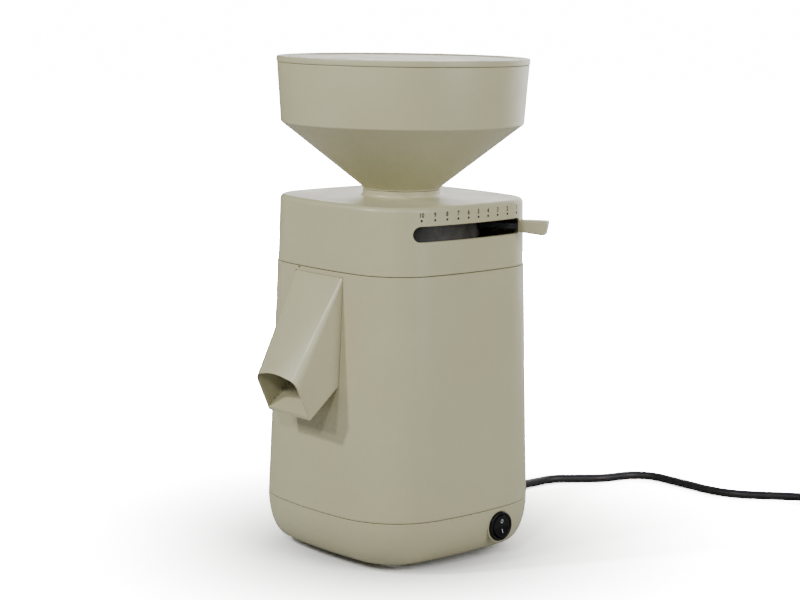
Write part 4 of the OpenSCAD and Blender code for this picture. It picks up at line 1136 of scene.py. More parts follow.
@dataclass
class Studio:
    """White paper, white surroundings, soft lamps and the camera of the photograph."""

    lens: float = 87.40
    place: Point = (1079.41, -967.06, 416.93)
    right: Point = (0.66570, 0.74608, 0.01439)
    up: Point = (-0.12629, 0.09363, 0.98757)
    back: Point = (0.73545, -0.65924, 0.15655)
    shift: float = -0.0005
    sky: float = 0.17
    paper: float = 0.46
    blown_sky: float = 16.0
    # Brightness of the paper in the picture beside the mill: a painted shadow round its foot.
    painted_shadow_near: float = 1.6
    blown_far: float = 130.0
    # Radius from the mill's axis at which the painted shadow has that brightness; it lightens
    # outwards.
    near: float = 0.09

    def build(self) -> None:
        """Makes the camera, the floor, the surroundings and the lamps."""
        self.camera()
        self.floor()
        self.surroundings()
        # Three lamps in front throw the spout's three shadows, one at the side lights the
        # scale's face, and the bright wall behind shines over the flat tops and the edges
        self.lamp("key_left", (-0.27, -0.74, 0.555), 1500, 80, 610.0)
        self.lamp("key_middle", (-0.066, -0.889, 0.45), 1500, 90, 190.0)
        self.lamp("key_right", (0.456, -0.754, 0.473), 1500, 120, 120.0)
        self.lamp("side", (0.93, 0.12, 0.36), 1500, 700, 8.8)
        self.lamp("wall", (-0.35, 0.93, 0.05), 1600, 2200, 3.8)

    def camera(self) -> None:
        """Makes the camera at the photograph's viewpoint."""
        data = bpy.data.cameras.new("camera")
        data.lens = self.lens
        data.sensor_width = 36.0
        data.shift_x = self.shift
        data.clip_end = 50.0
        eye = link("camera", data)
        turn = Matrix((self.right, self.up, self.back)).transposed().to_4x4()
        eye.matrix_world = Matrix.Translation(Vector(self.place) * MM) @ turn
        bpy.context.scene.camera = eye

    def exposed(self, tree: Tree, plain: float, camera_brightness: float | Socket) -> Socket:
        """Overexposes the studio, as the photograph does, without lighting the mill with it.

        Args:
            tree: Node tree of the paper or the surroundings.
            plain: Brightness that lights the mill.
            camera_brightness: Brightness in the picture.

        Returns:
            The brightness's socket.
        """
        ray = add_node(tree, "ShaderNodeLightPath").outputs["Is Camera Ray"]
        return add_node(tree, "ShaderNodeMapRange", {
            "Value": ray, "To Min": plain, "To Max": camera_brightness}).outputs["Result"]

    def floor(self) -> None:
        """Makes the matt white paper that the mill stands on, darker in the picture round the mill:
        a painted shadow.
        """
        paper = bpy.data.materials.new("studio_paper_white")
        paper.use_nodes = True
        tree = paper.node_tree
        tree.nodes.clear()
        spot = add_node(tree, "ShaderNodeTexCoord").outputs["Object"]
        # Painted shadow: the paper's brightness in the picture grows with a power of the distance
        # from the mill's axis.
        reach = add_node(tree, "ShaderNodeVectorMath", {0: spot},
                         operation="LENGTH").outputs["Value"]
        share = add_node(tree, "ShaderNodeMath", {0: reach, 1: self.near},
                         operation="DIVIDE").outputs["Value"]
        steep = add_node(tree, "ShaderNodeMath", {0: share, 1: 2.2},
                         operation="POWER").outputs["Value"]
        camera_brightness = add_node(tree, "ShaderNodeMapRange", {
            "Value": steep, "From Max": self.blown_far / self.painted_shadow_near,
            "To Max": self.blown_far}).outputs["Result"]
        # Lowest brightness of the painted shadow, under the base.
        camera_brightness = add_node(tree, "ShaderNodeMath", {0: camera_brightness, 1: 0.5 * self.painted_shadow_near},
                         operation="MAXIMUM").outputs["Value"]
        fibre = add_node(tree, "ShaderNodeTexNoise",
                         {"Vector": spot, "Scale": 400.0, "Detail": 3.0})
        bump = add_node(tree, "ShaderNodeBump",
                        {"Height": fibre.outputs["Fac"], "Distance": 0.02 * MM})
        shader = add_node(tree, "ShaderNodeBsdfDiffuse", {
            "Color": self.exposed(tree, self.paper, camera_brightness), "Normal": bump.outputs["Normal"]})
        add_node(tree, "ShaderNodeOutputMaterial", {"Surface": shader.outputs["BSDF"]})
        half = 6.0
        mesh = bpy.data.meshes.new("studio_floor")
        mesh.from_pydata([(-half, -half, 0), (half, -half, 0), (half, half, 0),
                          (-half, half, 0)], [], [(0, 1, 2, 3)])
        mesh.materials.append(paper)
        link("studio_floor", mesh)

    def surroundings(self) -> None:
        """Makes the white room that the mill stands in."""
        world = bpy.data.worlds.new("studio")
        world.use_nodes = True
        world.node_tree.nodes.clear()
        glow = add_node(world.node_tree, "ShaderNodeBackground", {
            "Color": linear("#FFFFFF"),
            "Strength": self.exposed(world.node_tree, self.sky, self.blown_sky)})
        add_node(world.node_tree, "ShaderNodeOutputWorld", {"Surface": glow.outputs["Background"]})
        bpy.context.scene.world = world

    def lamp(self, name: str, way: Point, reach: float, size: float, glow: float) -> None:
        """Hangs one square softbox that faces the mill.

        Args:
            name: Name of the lamp.
            way: Direction from the mill to the lamp.
            reach: Distance in millimetres.
            size: Side of the softbox in millimetres.
            glow: Brightness of its cloth.
        """
        data = bpy.data.lights.new(name, "AREA")
        data.size = size * MM
        data.energy = glow * math.pi * data.size ** 2
        lamp = link(name, data)
        lamp.visible_camera = False
        aim = Vector(way).normalized()
        lamp.matrix_world = Matrix.Translation((aim * reach + Vector((0, 0, 180))) * MM) \
            @ aim.to_track_quat("Z", "Y").to_matrix().to_4x4()


# ---- Cord, coil, tie and plug ----


@dataclass
class MainsLead:
    """The mains cord with its bend relief, coil, tie and plug."""

    sizes: MillSizes = SIZES
    coil_centre: Pair = (196.0, 337.5)
    coil_entry: float = 130.0
    coil_turns: float = 2.25
    climb: float = 0.5
    tie_angle: float = 200.0
    route_y: float = 299.5
    plug_lead: float = 46.0
    bends: tuple[float, ...] = (0, 28, 30, 32, 40, 28, 60)

    @property
    def low(self) -> float:
        """Height of the cord's middle where it lies on the table."""
        return self.sizes.cord_d / 2 + 0.2

    @property
    def coil_low(self) -> float:
        """Height of the cord's middle in the coil's lower layer, over the tie."""
        return self.low + 1.0

    @property
    def rise(self) -> float:
        """Height from the coil's lower layer to its upper one."""
        return self.sizes.cord_d + 0.7

    @property
    def way(self) -> Vector:
        """Direction in which the cord enters and leaves the coil."""
        angle = math.radians(self.coil_entry)
        return Vector((math.sin(angle), -math.cos(angle), 0.0))

    @property
    def all_turns(self) -> float:
        """Turns of both layers and of the climb between them."""
        return 2 * self.coil_turns + self.climb

    @property
    def coil_end(self) -> Vector:
        """Point where the cord has left the coil."""
        return self.coil_at(self.all_turns) + self.sizes.cord_d * self.way

    def coil_at(self, turns: float) -> Vector:
        """Gives a point of the coil.

        Args:
            turns: Turns from the start: inwards below, up, and outwards above.

        Returns:
            The point in millimetres.
        """
        past = turns - self.coil_turns
        pitch, radius = self.sizes.loop_pitch, self.sizes.coil_radius
        if past <= 0:
            reach = radius - pitch * turns
        elif past < self.climb:
            reach = radius - pitch * (self.coil_turns + past - past * past / self.climb)
        else:
            reach = radius - pitch * (self.coil_turns - (past - self.climb))
        angle = math.radians(self.coil_entry - 360 * turns)
        return Vector((self.coil_centre[0] + reach * math.cos(angle),
                       self.coil_centre[1] + reach * math.sin(angle),
                       self.coil_low + self.rise * ease(past / self.climb)))

    def path(self) -> list[Vector]:
        """Gives the cord's line from the bend relief through the coil to the plug."""
        s = self.sizes
        start, end = self.coil_at(0) - s.cord_d * self.way, self.coil_end
        ahead = start.x - (start.y - self.route_y) * self.way.x / self.way.y
        corners = [Vector(p) for p in (
            (0, s.relief_end, s.cord_exit_z), (0, 142, s.cord_exit_z), (-50, 170, self.low),
            (-48.5, 222, self.low), (-22, 257.5, self.low), (-11, self.route_y, self.low),
            (ahead, self.route_y, self.low))] + [start]
        line = [corners[0]]
        for i in range(1, len(corners) - 1):
            line += self.bend(corners[i - 1], corners[i], corners[i + 1], self.bends[i])
        line.append(start)
        steps = 40
        line += [self.coil_at(i / steps) for i in range(int(self.all_turns * steps) + 1)]
        line.append(end)
        flat = Vector((end.x, end.y, 0.0))
        for i in range(1, 17):
            t = i / 16
            level = mix(end.z, self.plug_axis_z, ease((t - 0.15) / 0.7))
            line.append(flat + self.plug_lead * t * self.way + Vector((0, 0, level)))
        return line

    @staticmethod
    def bend(before: Vector, corner: Vector, after: Vector, radius: float,
             steps: int = 12) -> list[Vector]:
        """Gives a round bend in a corner of the route.

        Args:
            before: Corner before this one.
            corner: Corner that is rounded.
            after: Corner after this one.
            radius: Radius of the bend.
            steps: Steps of the bend.

        Returns:
            Points of the bend.
        """
        u, v = (before - corner).normalized(), (after - corner).normalized()
        half = u.angle(v) / 2
        middle = corner + (u + v).normalized() * radius / math.sin(half)
        first = corner + u * radius / math.tan(half) - middle
        last = corner + v * radius / math.tan(half) - middle
        turn = math.pi - 2 * half
        return [middle
                + (first * math.sin(turn * (1 - k / steps)) + last * math.sin(turn * k / steps))
                / math.sin(turn) for k in range(steps + 1)]

    @property
    def plug_axis_z(self) -> float:
        """Height of the plug's axis over the table."""
        return self.sizes.plug_radius + 0.3

    @property
    def plug_place(self) -> Matrix:
        """Where the plug's own Z axis and origin go."""
        end = self.coil_end
        spot = Vector((end.x, end.y, self.plug_axis_z)) + self.plug_lead * self.way
        return Matrix.Translation(spot) \
            @ Matrix.Rotation(math.atan2(self.way.y, self.way.x), 4, "Z") \
            @ Matrix.Rotation(math.pi / 2, 4, "Y")

    def cord(self) -> Piece:
        """Makes the cord as one open round curve."""
        line = self.path()
        data = bpy.data.curves.new("mains_cord", "CURVE")
        data.dimensions = "3D"
        spline = data.splines.new("POLY")
        spline.points.add(len(line) - 1)
        for point, spot in zip(spline.points, line):
            point.co = (*(spot * MM), 1.0)
        data.bevel_depth = self.sizes.cord_d / 2 * MM
        data.bevel_resolution = 5
        data.use_fill_caps = True
        data.materials.append(Finishes.SHEATH.value.material())
        return link("mains_cord", data)

    def tie(self) -> Piece:
        """Makes the strap round the coil, with its lapped end."""
        s = self.sizes
        low = self.coil_low - s.cord_d / 2 - 0.2
        high = self.coil_low + self.rise + s.cord_d / 2 + 0.3
        inside = s.coil_radius - s.loop_pitch * self.coil_turns - s.cord_d / 2 - 0.3
        outside = s.coil_radius + s.cord_d / 2 - 0.9
        thick, soft = 0.8, 3.0

        def loop(grow: float) -> list[Pair]:
            """Draws the strap's way round the loops, grown by some thickness."""
            corners = [(inside - grow, low - grow), (outside + grow, low - grow),
                       (outside + grow, high + grow), (inside - grow, high + grow)]
            return rounded([(x, z, soft + grow) for x, z in corners], 6)
        rings = []
        for out, side in ((0.0, -4.4), (0.0, 4.4), (thick, 4.4), (thick, -4.4)):
            rings.append([(x, side, z) for x, z in loop(out)])
        points, faces = skin(rings)
        lap = [(outside + thick + 0.02, side, z)
               for side, z in ((-4.3, low + 3), (4.3, low + 3), (4.3, high - 2), (-4.3, high - 2))]
        lap += [(x + 0.7, y, z) for x, y, z in lap]
        start = len(points)
        points += lap
        faces += [tuple(start + i for i in f) for f in BLOCK_FACES]
        place = upright(*self.coil_centre) \
            @ Matrix.Rotation(math.radians(self.tie_angle), 4, "Z")
        placed = [tuple(place @ Vector(p)) for p in points]
        return soften(make_object("coil_tie", placed, faces, Finishes.TAPE), 40)

    def plug(self) -> tuple[Piece, Piece]:
        """Makes the plug with its grip ribs, and its two pins.

        Returns:
            The plug's body and its pins.
        """
        s = self.sizes
        neck, wide = s.cord_d / 2, s.plug_radius
        profile = [(0.0, 0.0)]
        profile += rounded([(neck + 1.5, 0, 0.8), (neck + 2.6, 14, 2), (neck + 5, 18, 2),
                            (wide - 3, 22, 3), (wide - 1.2, 26, 2), (wide - 1.2, 34, 1),
                            (wide, 36, 1), (wide, 46, 0.8), (wide - 1.4, 47, 0.5)], 5)
        profile.append((0.0, 47.0))
        body = turned("mains_plug", profile, Finishes.RUBBER, 72)
        notches = [box_core((-3.5, y - 2.2, 32), (3.5, y + 2.2, 48), Finishes.RUBBER)
                   for y in (-wide, wide)]
        ribs = []
        for level in (3.4, 6.2, 9.0):
            radius = mix(neck + 1.5, neck + 2.6, level / 14) + 0.02
            ribs.append(turned("core", rounded([(radius - 1, level, 0), (radius + 0.5, level, 0.25),
                                                (radius + 0.5, level + 1.2, 0.25),
                                                (radius - 1, level + 1.2, 0)], 2),
                               Finishes.RUBBER, 40))
        for side in range(10):
            angle = math.radians(36 * side)
            grip = box_core((wide - 1.6, -0.8, 27), (wide - 0.7, 0.8, 33.4), Finishes.RUBBER)
            for corner in grip.data.vertices:
                corner.co = Matrix.Rotation(angle, 3, "Z") @ corner.co
            ribs.append(grip)
        body = cut(body, notches)
        body = join([body] + ribs)
        for corner in body.data.vertices:
            corner.co = (self.plug_place @ (corner.co / MM)) * MM
        soften(body, 35)
        pins = []
        for y in (-9.5, 9.5):
            shape = rounded([(0, 37.05, 0), (2.4, 37.05, 0), (2.4, 63.5, 0.4), (1.3, 65.6, 0.8),
                             (0, 65.6, 0)], 4)
            pins.append(turned("plug_pins_bright", shape, Finishes.NICKEL, 32,
                               self.plug_place @ Matrix.Translation((0, y, 0))))
        return body, join(pins)

    def relief(self) -> Piece:
        """Makes the ribbed bend relief where the cord leaves the base."""
        s = self.sizes
        neck, tip, end = s.cord_d / 2 + 2.6, s.cord_d / 2 + 1.2, s.relief_length
        line = [(0.0, -9.0), (neck + 1.2, -9.0), (neck + 1.2, -6.1), (neck, -6.1), (neck, 0.05)]
        line += rounded([(neck, 0.05, 0), (neck + 2.4, 0.05, 0.2), (neck + 2.4, 2.4, 0.7),
                         (neck, 3.0, 0.3)], 3)[1:]
        level = 5.0
        while level < end - 3.5:
            here = mix(neck, tip + 0.4, level / end)
            line += [(here, level), (here - 1.0, level + 0.3), (here - 1.0, level + 1.3),
                     (here, level + 1.6)]
            level += 3.4
        line += [(tip + 0.4, end - 1.2), (tip + 0.3, end - 0.3), (tip, end), (0.0, end)]
        return turned("cord_bend_relief", line, Finishes.RUBBER, 56,
                      along_y(0, s.relief_y, s.cord_exit_z))

    def build(self) -> None:
        s = self.sizes
        cord, tie, (plug, pins) = self.cord(), self.tie(), self.plug()
        for piece, slot, nodes in (
                (cord, "cord_sheath", ("power_cord", "cord_coil", "cord_tail")),
                (plug, "black_rubber", ("plug_body",)),
                (pins, "nickel_pins", ("plug_pins",)),
                (self.relief(), "black_rubber", ("cord_relief",)),
                (tie, "woven_tape", ("cord_tie",))):
            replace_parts(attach(piece, "housing"), *nodes)
        line = self.path()
        s.relief_end * MM


# ---- Shells of the housing ----


@dataclass
class Shells:
    """Base, housing and head, three moulded shells with open seams between them."""

    sizes: MillSizes = SIZES
    boss_radius: float = 5.0
    screw_span: float = 16.0
    screw_hole: float = 2.2
    thread_hole: float = 2.06
    counterbore: float = 4.1
    foot_post: float = 7.4
    stem_hole: float = 3.05
    pad_radius: float = 12.2
    shoulder: float = 2.6
    fit: float = 0.06

    def corners(self, reach: float) -> list[Pair]:
        """Gives the four places at a distance from the axis along X and Y."""
        return [(x * reach, y * reach) for x, y in ((1, 1), (-1, 1), (-1, -1), (1, -1))]

    def base(self) -> Piece:
        """Makes the base shell with its openings, posts and screw wells."""
        s = self.sizes

        def level_ring(angle: float, inset: float, floor: float) -> Ring:
            """Draws the base's outline at an angle of its rounding."""
            return outline(s.base_half(angle) - inset, s.base_corner(angle) - inset, s.side_bulge,
                           s.base_top - (s.base_height - floor) * math.sin(angle))
        steps = 18
        rings = [level_ring(math.pi / 2 * (1 - k / steps), 0, 0) for k in range(steps)]
        edge = edge_stations(s.base_top, -1, s.soft_edge)
        rings += [outline(s.base_half(0) - inset, s.base_corner(0) - inset, s.side_bulge, z)
                  for inset, z in reversed(edge)]
        rings += [level_ring(math.pi / 2 * k / 10, s.wall, s.wall) for k in range(11)]
        ledge = s.base_z + s.plate_thick + 0.1
        seat = s.plate_radius + 0.3
        for radius, z in ((seat + 3.4, s.base_z + s.wall), (seat + 3.4, ledge + 3),
                          (s.plate_radius - 8, ledge + 3), (s.plate_radius - 8, ledge),
                          (seat, ledge), (seat, s.base_z + 0.5), (seat + 0.5, s.base_z)):
            rings.append(circle_like(rings[0], radius, z))
        shell = soften(make_object("base_shell_dressed", *skin(rings), Finishes.SHELL))
        cord_y, pad = s.relief_y, s.pad_face
        neck = s.cord_d / 2 + self.shoulder
        added = [rod(self.pad_radius, pad - 10.8, pad, along_x(0, s.switch_offset, s.switch_z), 64),
                 rod(neck + 3, cord_y - 6, cord_y, along_y(0, 0, s.cord_exit_z), 48)]
        for x, y in self.corners(s.foot_reach):
            added.append(rod(self.foot_post, s.base_z + s.wall - 1, 47.8, upright(x, y), 40))
        for x, y in self.corners(s.boss_reach):
            added.append(rod(self.boss_radius, s.base_z + s.wall - 1, s.base_top - 5.5,
                             upright(x, y), 32))
        shell = cut(shell, added, "UNION")
        holes = [rod(s.switch_hole_radius, 45, 105, along_x(0, s.switch_offset, s.switch_z), 64),
                 rod(self.pad_radius, pad, pad + 20, along_x(0, s.switch_offset, s.switch_z), 64),
                 rod(neck + self.fit, 45, 105, along_y(0, 0, s.cord_exit_z), 48),
                 rod(neck + 3, cord_y, cord_y + 20, along_y(0, 0, s.cord_exit_z), 48),
                 rod(neck + 1.4, cord_y - 16, cord_y - 6.05, along_y(0, 0, s.cord_exit_z), 48)]
        for x, y in self.corners(s.foot_reach):
            holes += [rod(self.stem_hole, s.base_z - 1, s.base_z + 6.2, upright(x, y), 24),
                      rod(self.thread_hole, s.base_z + 9, 49, upright(x, y), 24)]
        for x, y in self.corners(s.boss_reach):
            holes += [rod(self.counterbore, s.base_z - 1, s.base_z + 7, upright(x, y), 32),
                      rod(self.screw_hole, s.base_z + 6, s.base_top, upright(x, y), 24)]
        return weigh_normals(soften(cut(shell, holes), 28))

    def body(self) -> Piece:
        """Makes the housing with its tongues, screw bosses and the spout's window."""
        s = self.sizes

        def level_ring(level: float, inset: float) -> Ring:
            """Draws the housing's outline at a level."""
            return outline(s.body_half(level) - inset, s.body_corner(level) - inset, s.side_bulge,
                           level)
        low_edge = edge_stations(s.body_z, 1, s.soft_edge)
        high_edge = edge_stations(s.body_top, -1, s.soft_edge)
        in_low, thick = s.wall + 0.9, 2.0
        in_high = (s.body_top_width - s.head_low_width) / 2 + s.wall + 0.5
        rings = [level_ring(z, inset) for inset, z in low_edge]
        rings += [level_ring(mix(s.body_z, s.body_top, k / 8), 0) for k in range(1, 8)]
        rings += [level_ring(z, inset) for inset, z in reversed(high_edge)]
        for level, inset in ((s.body_top, in_high), (s.body_top + 4.5, in_high),
                             (s.body_top + 4.5, in_high + thick),
                             (s.body_top - 6, in_high + thick), (s.body_top - 9, s.wall),
                             (s.body_z + 8, s.wall),
                             (s.body_z + 5, in_low + thick), (s.body_z - 5, in_low + thick),
                             (s.body_z - 5, in_low), (s.body_z, in_low)):
            rings.append(level_ring(level, inset))
        shell = soften(make_object("housing_dressed", *skin(rings), Finishes.SHELL))
        spans = ((s.body_z - 5, s.body_z + self.screw_span),
                 (s.body_top - self.screw_span, s.body_top))
        added = [rod(self.boss_radius, low, high, upright(x, y), 32)
                 for x, y in self.corners(s.boss_reach) for low, high in spans]
        for low, high in ((s.body_z + 0.6, spans[0][1] - 0.4), (spans[1][0], s.body_top - 0.4)):
            added += self.ribs(s.body_half(high), s.body_corner(high), low, high)
        shell = cut(shell, added, "UNION")
        half = s.spout_half + 0.3
        holes = [box_core((-half, -100, s.spout_foot - 0.3), (half, -50, s.spout_top + 0.3)),
                 rod(12.6, 45, 105, along_x(0, s.switch_offset, s.switch_z), 64),
                 box_core((-23.8, -s.wall_y(s.body_top, 23) - 1, s.body_top - 1.5),
                          (-21.3, -s.wall_y(s.body_top, 23) + 1.6, s.body_top + 1))]
        for x, y in self.corners(s.boss_reach):
            holes += [rod(self.thread_hole, s.body_z - 6, spans[0][1] + 1, upright(x, y), 24),
                      rod(self.screw_hole, spans[1][0] - 1, s.body_top + 1, upright(x, y), 24)]
        return weigh_normals(soften(cut(shell, holes), 28))

    def ribs(self, half: float, corner: float, low: float, high: float) -> list[Piece]:
        """Makes the ribs that tie the four screw bosses to the shell's corners.

        Args:
            half: Half of the shell's width.
            corner: Its corner radius.
            low: Height of their lower edge.
            high: Height of their upper edge.

        Returns:
            The four objects.
        """
        s = self.sizes
        start = s.boss_reach * math.sqrt(2) + self.boss_radius - 0.6
        end = (half - corner) * math.sqrt(2) + corner - s.wall + 0.4
        made = [box_core((start, -1.2, low), (end, 1.2, high)) for _ in range(4)]
        for k, rib in enumerate(made):
            rib.data.transform(Matrix.Rotation(math.radians(45 + 90 * k), 4, "Z"))
        return made

    def head(self) -> Piece:
        """Makes the head with its collar, soft top edge and the lever's slot."""
        s = self.sizes
        collar = max(s.neck_radius + 0.2, s.spigot_radius + s.lift_gap + 2.4)
        bore = s.spigot_radius + s.lift_gap

        def level_ring(level: float, inset: float) -> Ring:
            """Draws the head's outline at a level."""
            return outline(s.head_half(level) - inset, s.head_corner(level) - inset, s.side_bulge,
                           level)
        rings = [level_ring(z, inset) for inset, z in edge_stations(s.head_z, 1, s.soft_edge)]
        rings += [level_ring(mix(s.head_z, s.head_top, k / 6), 0) for k in range(1, 6)]
        half, corner = s.head_half(s.head_top - s.head_edge), s.head_corner(s.head_top)
        for k in range(9):
            angle = math.pi / 2 * k / 8
            drawn = s.head_edge * (1 - math.cos(angle))
            rings.append(outline(half - drawn, corner - drawn, s.side_bulge,
                                 s.head_top - s.head_edge * (1 - math.sin(angle))))
        first = rings[0]
        for k in range(7):
            angle = math.pi / 2 * k / 6
            rings.append(circle_like(first, collar + 2.4 * (1 - math.sin(angle)),
                                     s.head_top + 2.4 * (1 - math.cos(angle))))
        for radius, z in ((collar, s.collar_top - 0.5), (collar - 0.15, s.collar_top - 0.15),
                          (collar - 0.5, s.collar_top), (bore + 0.5, s.collar_top),
                          (bore, s.collar_top - 0.5),
                          (bore, s.head_top - 14), (collar, s.head_top - 14),
                          (collar, s.head_top - s.wall)):
            rings.append(circle_like(first, radius, z))
        rings += [level_ring(s.head_top - s.wall, s.wall + 2),
                  level_ring(s.head_top - s.wall - 2, s.wall),
                  level_ring(s.head_z, s.wall)]
        shell = soften(make_object("head_dressed", *skin(rings), Finishes.SHELL))
        added = [rod(self.boss_radius, s.head_z, s.head_z + self.screw_span, upright(x, y), 32)
                 for x, y in self.corners(s.boss_reach)]
        added += self.ribs(s.head_half(s.head_z), s.head_corner(s.head_z), s.body_top + 5,
                           s.head_z + self.screw_span - 0.4)
        shell = cut(shell, added, "UNION")
        holes = [self.slot_core()]
        deep = s.head_z + self.screw_span - 3
        holes += [rod(self.thread_hole, s.head_z - 1, deep, upright(x, y), 24)
                  for x, y in self.corners(s.boss_reach)]
        return weigh_normals(soften(cut(shell, holes), 28))

    def head_reach(self, along: float, level: float) -> float:
        """Distance of the head's outside from the axis plane, also round the corner.

        Args:
            along: Place along the side.
            level: Height.

        Returns:
            Distance along X in millimetres.
        """
        s = self.sizes
        half, corner = s.head_half(level), s.head_corner(level)
        flat = half - corner
        if abs(along) <= flat:
            return s.side_reach(half, corner, along)
        lean = math.atan(2 * s.side_bulge / flat)
        bend = corner / (math.cos(lean) - math.sin(lean))
        rest = (abs(along) - (flat - bend * math.sin(lean))) / bend
        return half - bend * math.cos(lean) + bend * math.sqrt(max(0.0, 1 - rest * rest))

    def slot_core(self) -> Piece:
        """Makes the cutter of the lever's slot, whose rim is rolled outwards."""
        s = self.sizes
        roll = 0.7

        def loop(grow: float, depth: float) -> Ring:
            """Draws the slot's outline, grown, at a depth below the head's outside."""
            radius = s.slot_height / 2 + grow
            middle = s.slot_half - s.slot_height / 2
            flat = []
            for k in range(17):
                angle = math.pi / 2 - math.pi * k / 16
                flat.append((middle + radius * math.cos(angle), radius * math.sin(angle)))
            flat += [(mix(middle, -middle, k / 20), -radius) for k in range(1, 20)]
            for k in range(17):
                angle = -math.pi / 2 - math.pi * k / 16
                flat.append((-middle + radius * math.cos(angle), radius * math.sin(angle)))
            flat += [(mix(-middle, middle, k / 20), radius) for k in range(1, 20)]
            return [(self.head_reach(y, s.lever_z + z) - depth, y, s.lever_z + z) for y, z in flat]
        rings = [loop(roll + 0.6, -2.0)]
        for k in range(5):
            angle = math.pi / 2 * k / 4
            rings.append(loop(roll * (1 - math.sin(angle)), roll * (1 - math.cos(angle))))
        rings.append(loop(0.0, 6.0))
        rings.append([(44.0, y, z) for _, y, z in rings[-1]])
        points, faces = skin(rings, closed=False)
        core = make_object("core", points, faces, Finishes.SHELL)
        rework(core, lambda mesh: bmesh.ops.triangulate(
            mesh, faces=[f for f in mesh.faces if len(f.verts) > 4]))
        return soften(core)

    def build(self) -> None:
        """Makes the three shells and hides their solids."""
        for make, node in ((self.base, "base_shell"), (self.body, "body_shell"),
                           (self.head, "head_cover")):
            piece = make()
            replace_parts(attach(piece, "housing"), node)
            log.info("%s: %d faces", piece.name, len(piece.data.polygons))


# ---- Hopper and lid ----


@dataclass
class HopperAndLid:
    """The round hopper and its lid, both turned about the mill's axis."""

    turning: TurningRecipe
    sizes: MillSizes = SIZES

    def hopper_profile(self) -> list[Pair]:
        """Draws the hopper's wall: spigot, cone and upright band."""
        s = self.sizes
        band = s.hopper_radius - s.band_taper
        step = s.hopper_wall / math.cos(math.atan(s.cone_height / (band - s.neck_radius)))
        return rounded([
            (s.spigot_radius, s.spigot_z, 0.6), (s.spigot_radius, s.neck_z, 0.2),
            (s.neck_radius, s.neck_z, 0.3),
            (s.neck_radius, s.neck_z + 0.9, 0.8), (band, s.band_z, 1.6),
            (s.hopper_radius, s.rim_z, 0.5),
            (s.hopper_radius - s.hopper_wall, s.rim_z, 0.6),
            (band - s.hopper_wall, s.band_z + 0.6, 3.0),
            (s.throat_radius + 0.8, s.neck_z + (step - 0.8) * 0.7 + 2, 4.0),
            (s.throat_radius, s.neck_z - 1, 1.5),
            (s.throat_radius, s.spigot_z, 0.6)], 6)

    def lid_profile(self) -> list[Pair]:
        """Draws the lid: a flat disc with a raised rim and a plug that fits the hopper."""
        s = self.sizes
        edge = s.hopper_radius + s.lid_overhang
        plug = s.hopper_radius - s.hopper_wall - 0.7
        hub = 0.4
        return rounded([
            (hub, s.lid_z + 0.4, 0), (plug - 2.2, s.lid_z + 0.4, 0.8),
            (plug - 2.2, s.lid_z - 5, 0.5),
            (plug, s.lid_z - 5, 0.5), (plug + 0.2, s.lid_z, 0.2), (edge, s.lid_z, 0.5),
            (edge, s.lid_top, 0.9),
            (edge - 4, s.lid_top, 1.2), (edge - 6.5, s.lid_top - 1.2, 1.2),
            (hub, s.lid_top - 1.2, 0)], 5)

    def build(self) -> None:
        """Turns both pieces and closes the lid's middle."""
        hopper = self.turning.turn("hopper_dressed", self.hopper_profile(), Finishes.SHELL)
        lid = self.turning.turn("lid_dressed", self.lid_profile(), Finishes.SHELL)
        rework(lid, self.close_middle)
        for piece, body, node in ((hopper, "hopper", "hopper"), (lid, "lid", "hopper_lid")):
            soften(piece, 40)
            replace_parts(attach(piece, body), node)
            log.info("%s: %d faces", piece.name, len(piece.data.polygons))

    @staticmethod
    def close_middle(mesh: bmesh.types.BMesh) -> None:
        """Shrinks the tiny hole round the axis to a point on both faces.

        Args:
            mesh: Open mesh of the lid.
        """
        inner = [v for v in mesh.verts if math.hypot(v.co.x, v.co.y) < 0.6 * MM]
        for corner in inner:
            corner.co.x = corner.co.y = 0.0
        bmesh.ops.remove_doubles(mesh, verts=inner, dist=0.01 * MM)
        axis = [e for e in mesh.edges if all(math.hypot(v.co.x, v.co.y) < 1e-7 for v in e.verts)]
        bmesh.ops.delete(mesh, geom=axis, context="EDGES_FACES")
        rims = [e for e in mesh.edges if e.is_boundary]
        if rims:
            bmesh.ops.holes_fill(mesh, edges=rims)


# ---- Flour spout ----


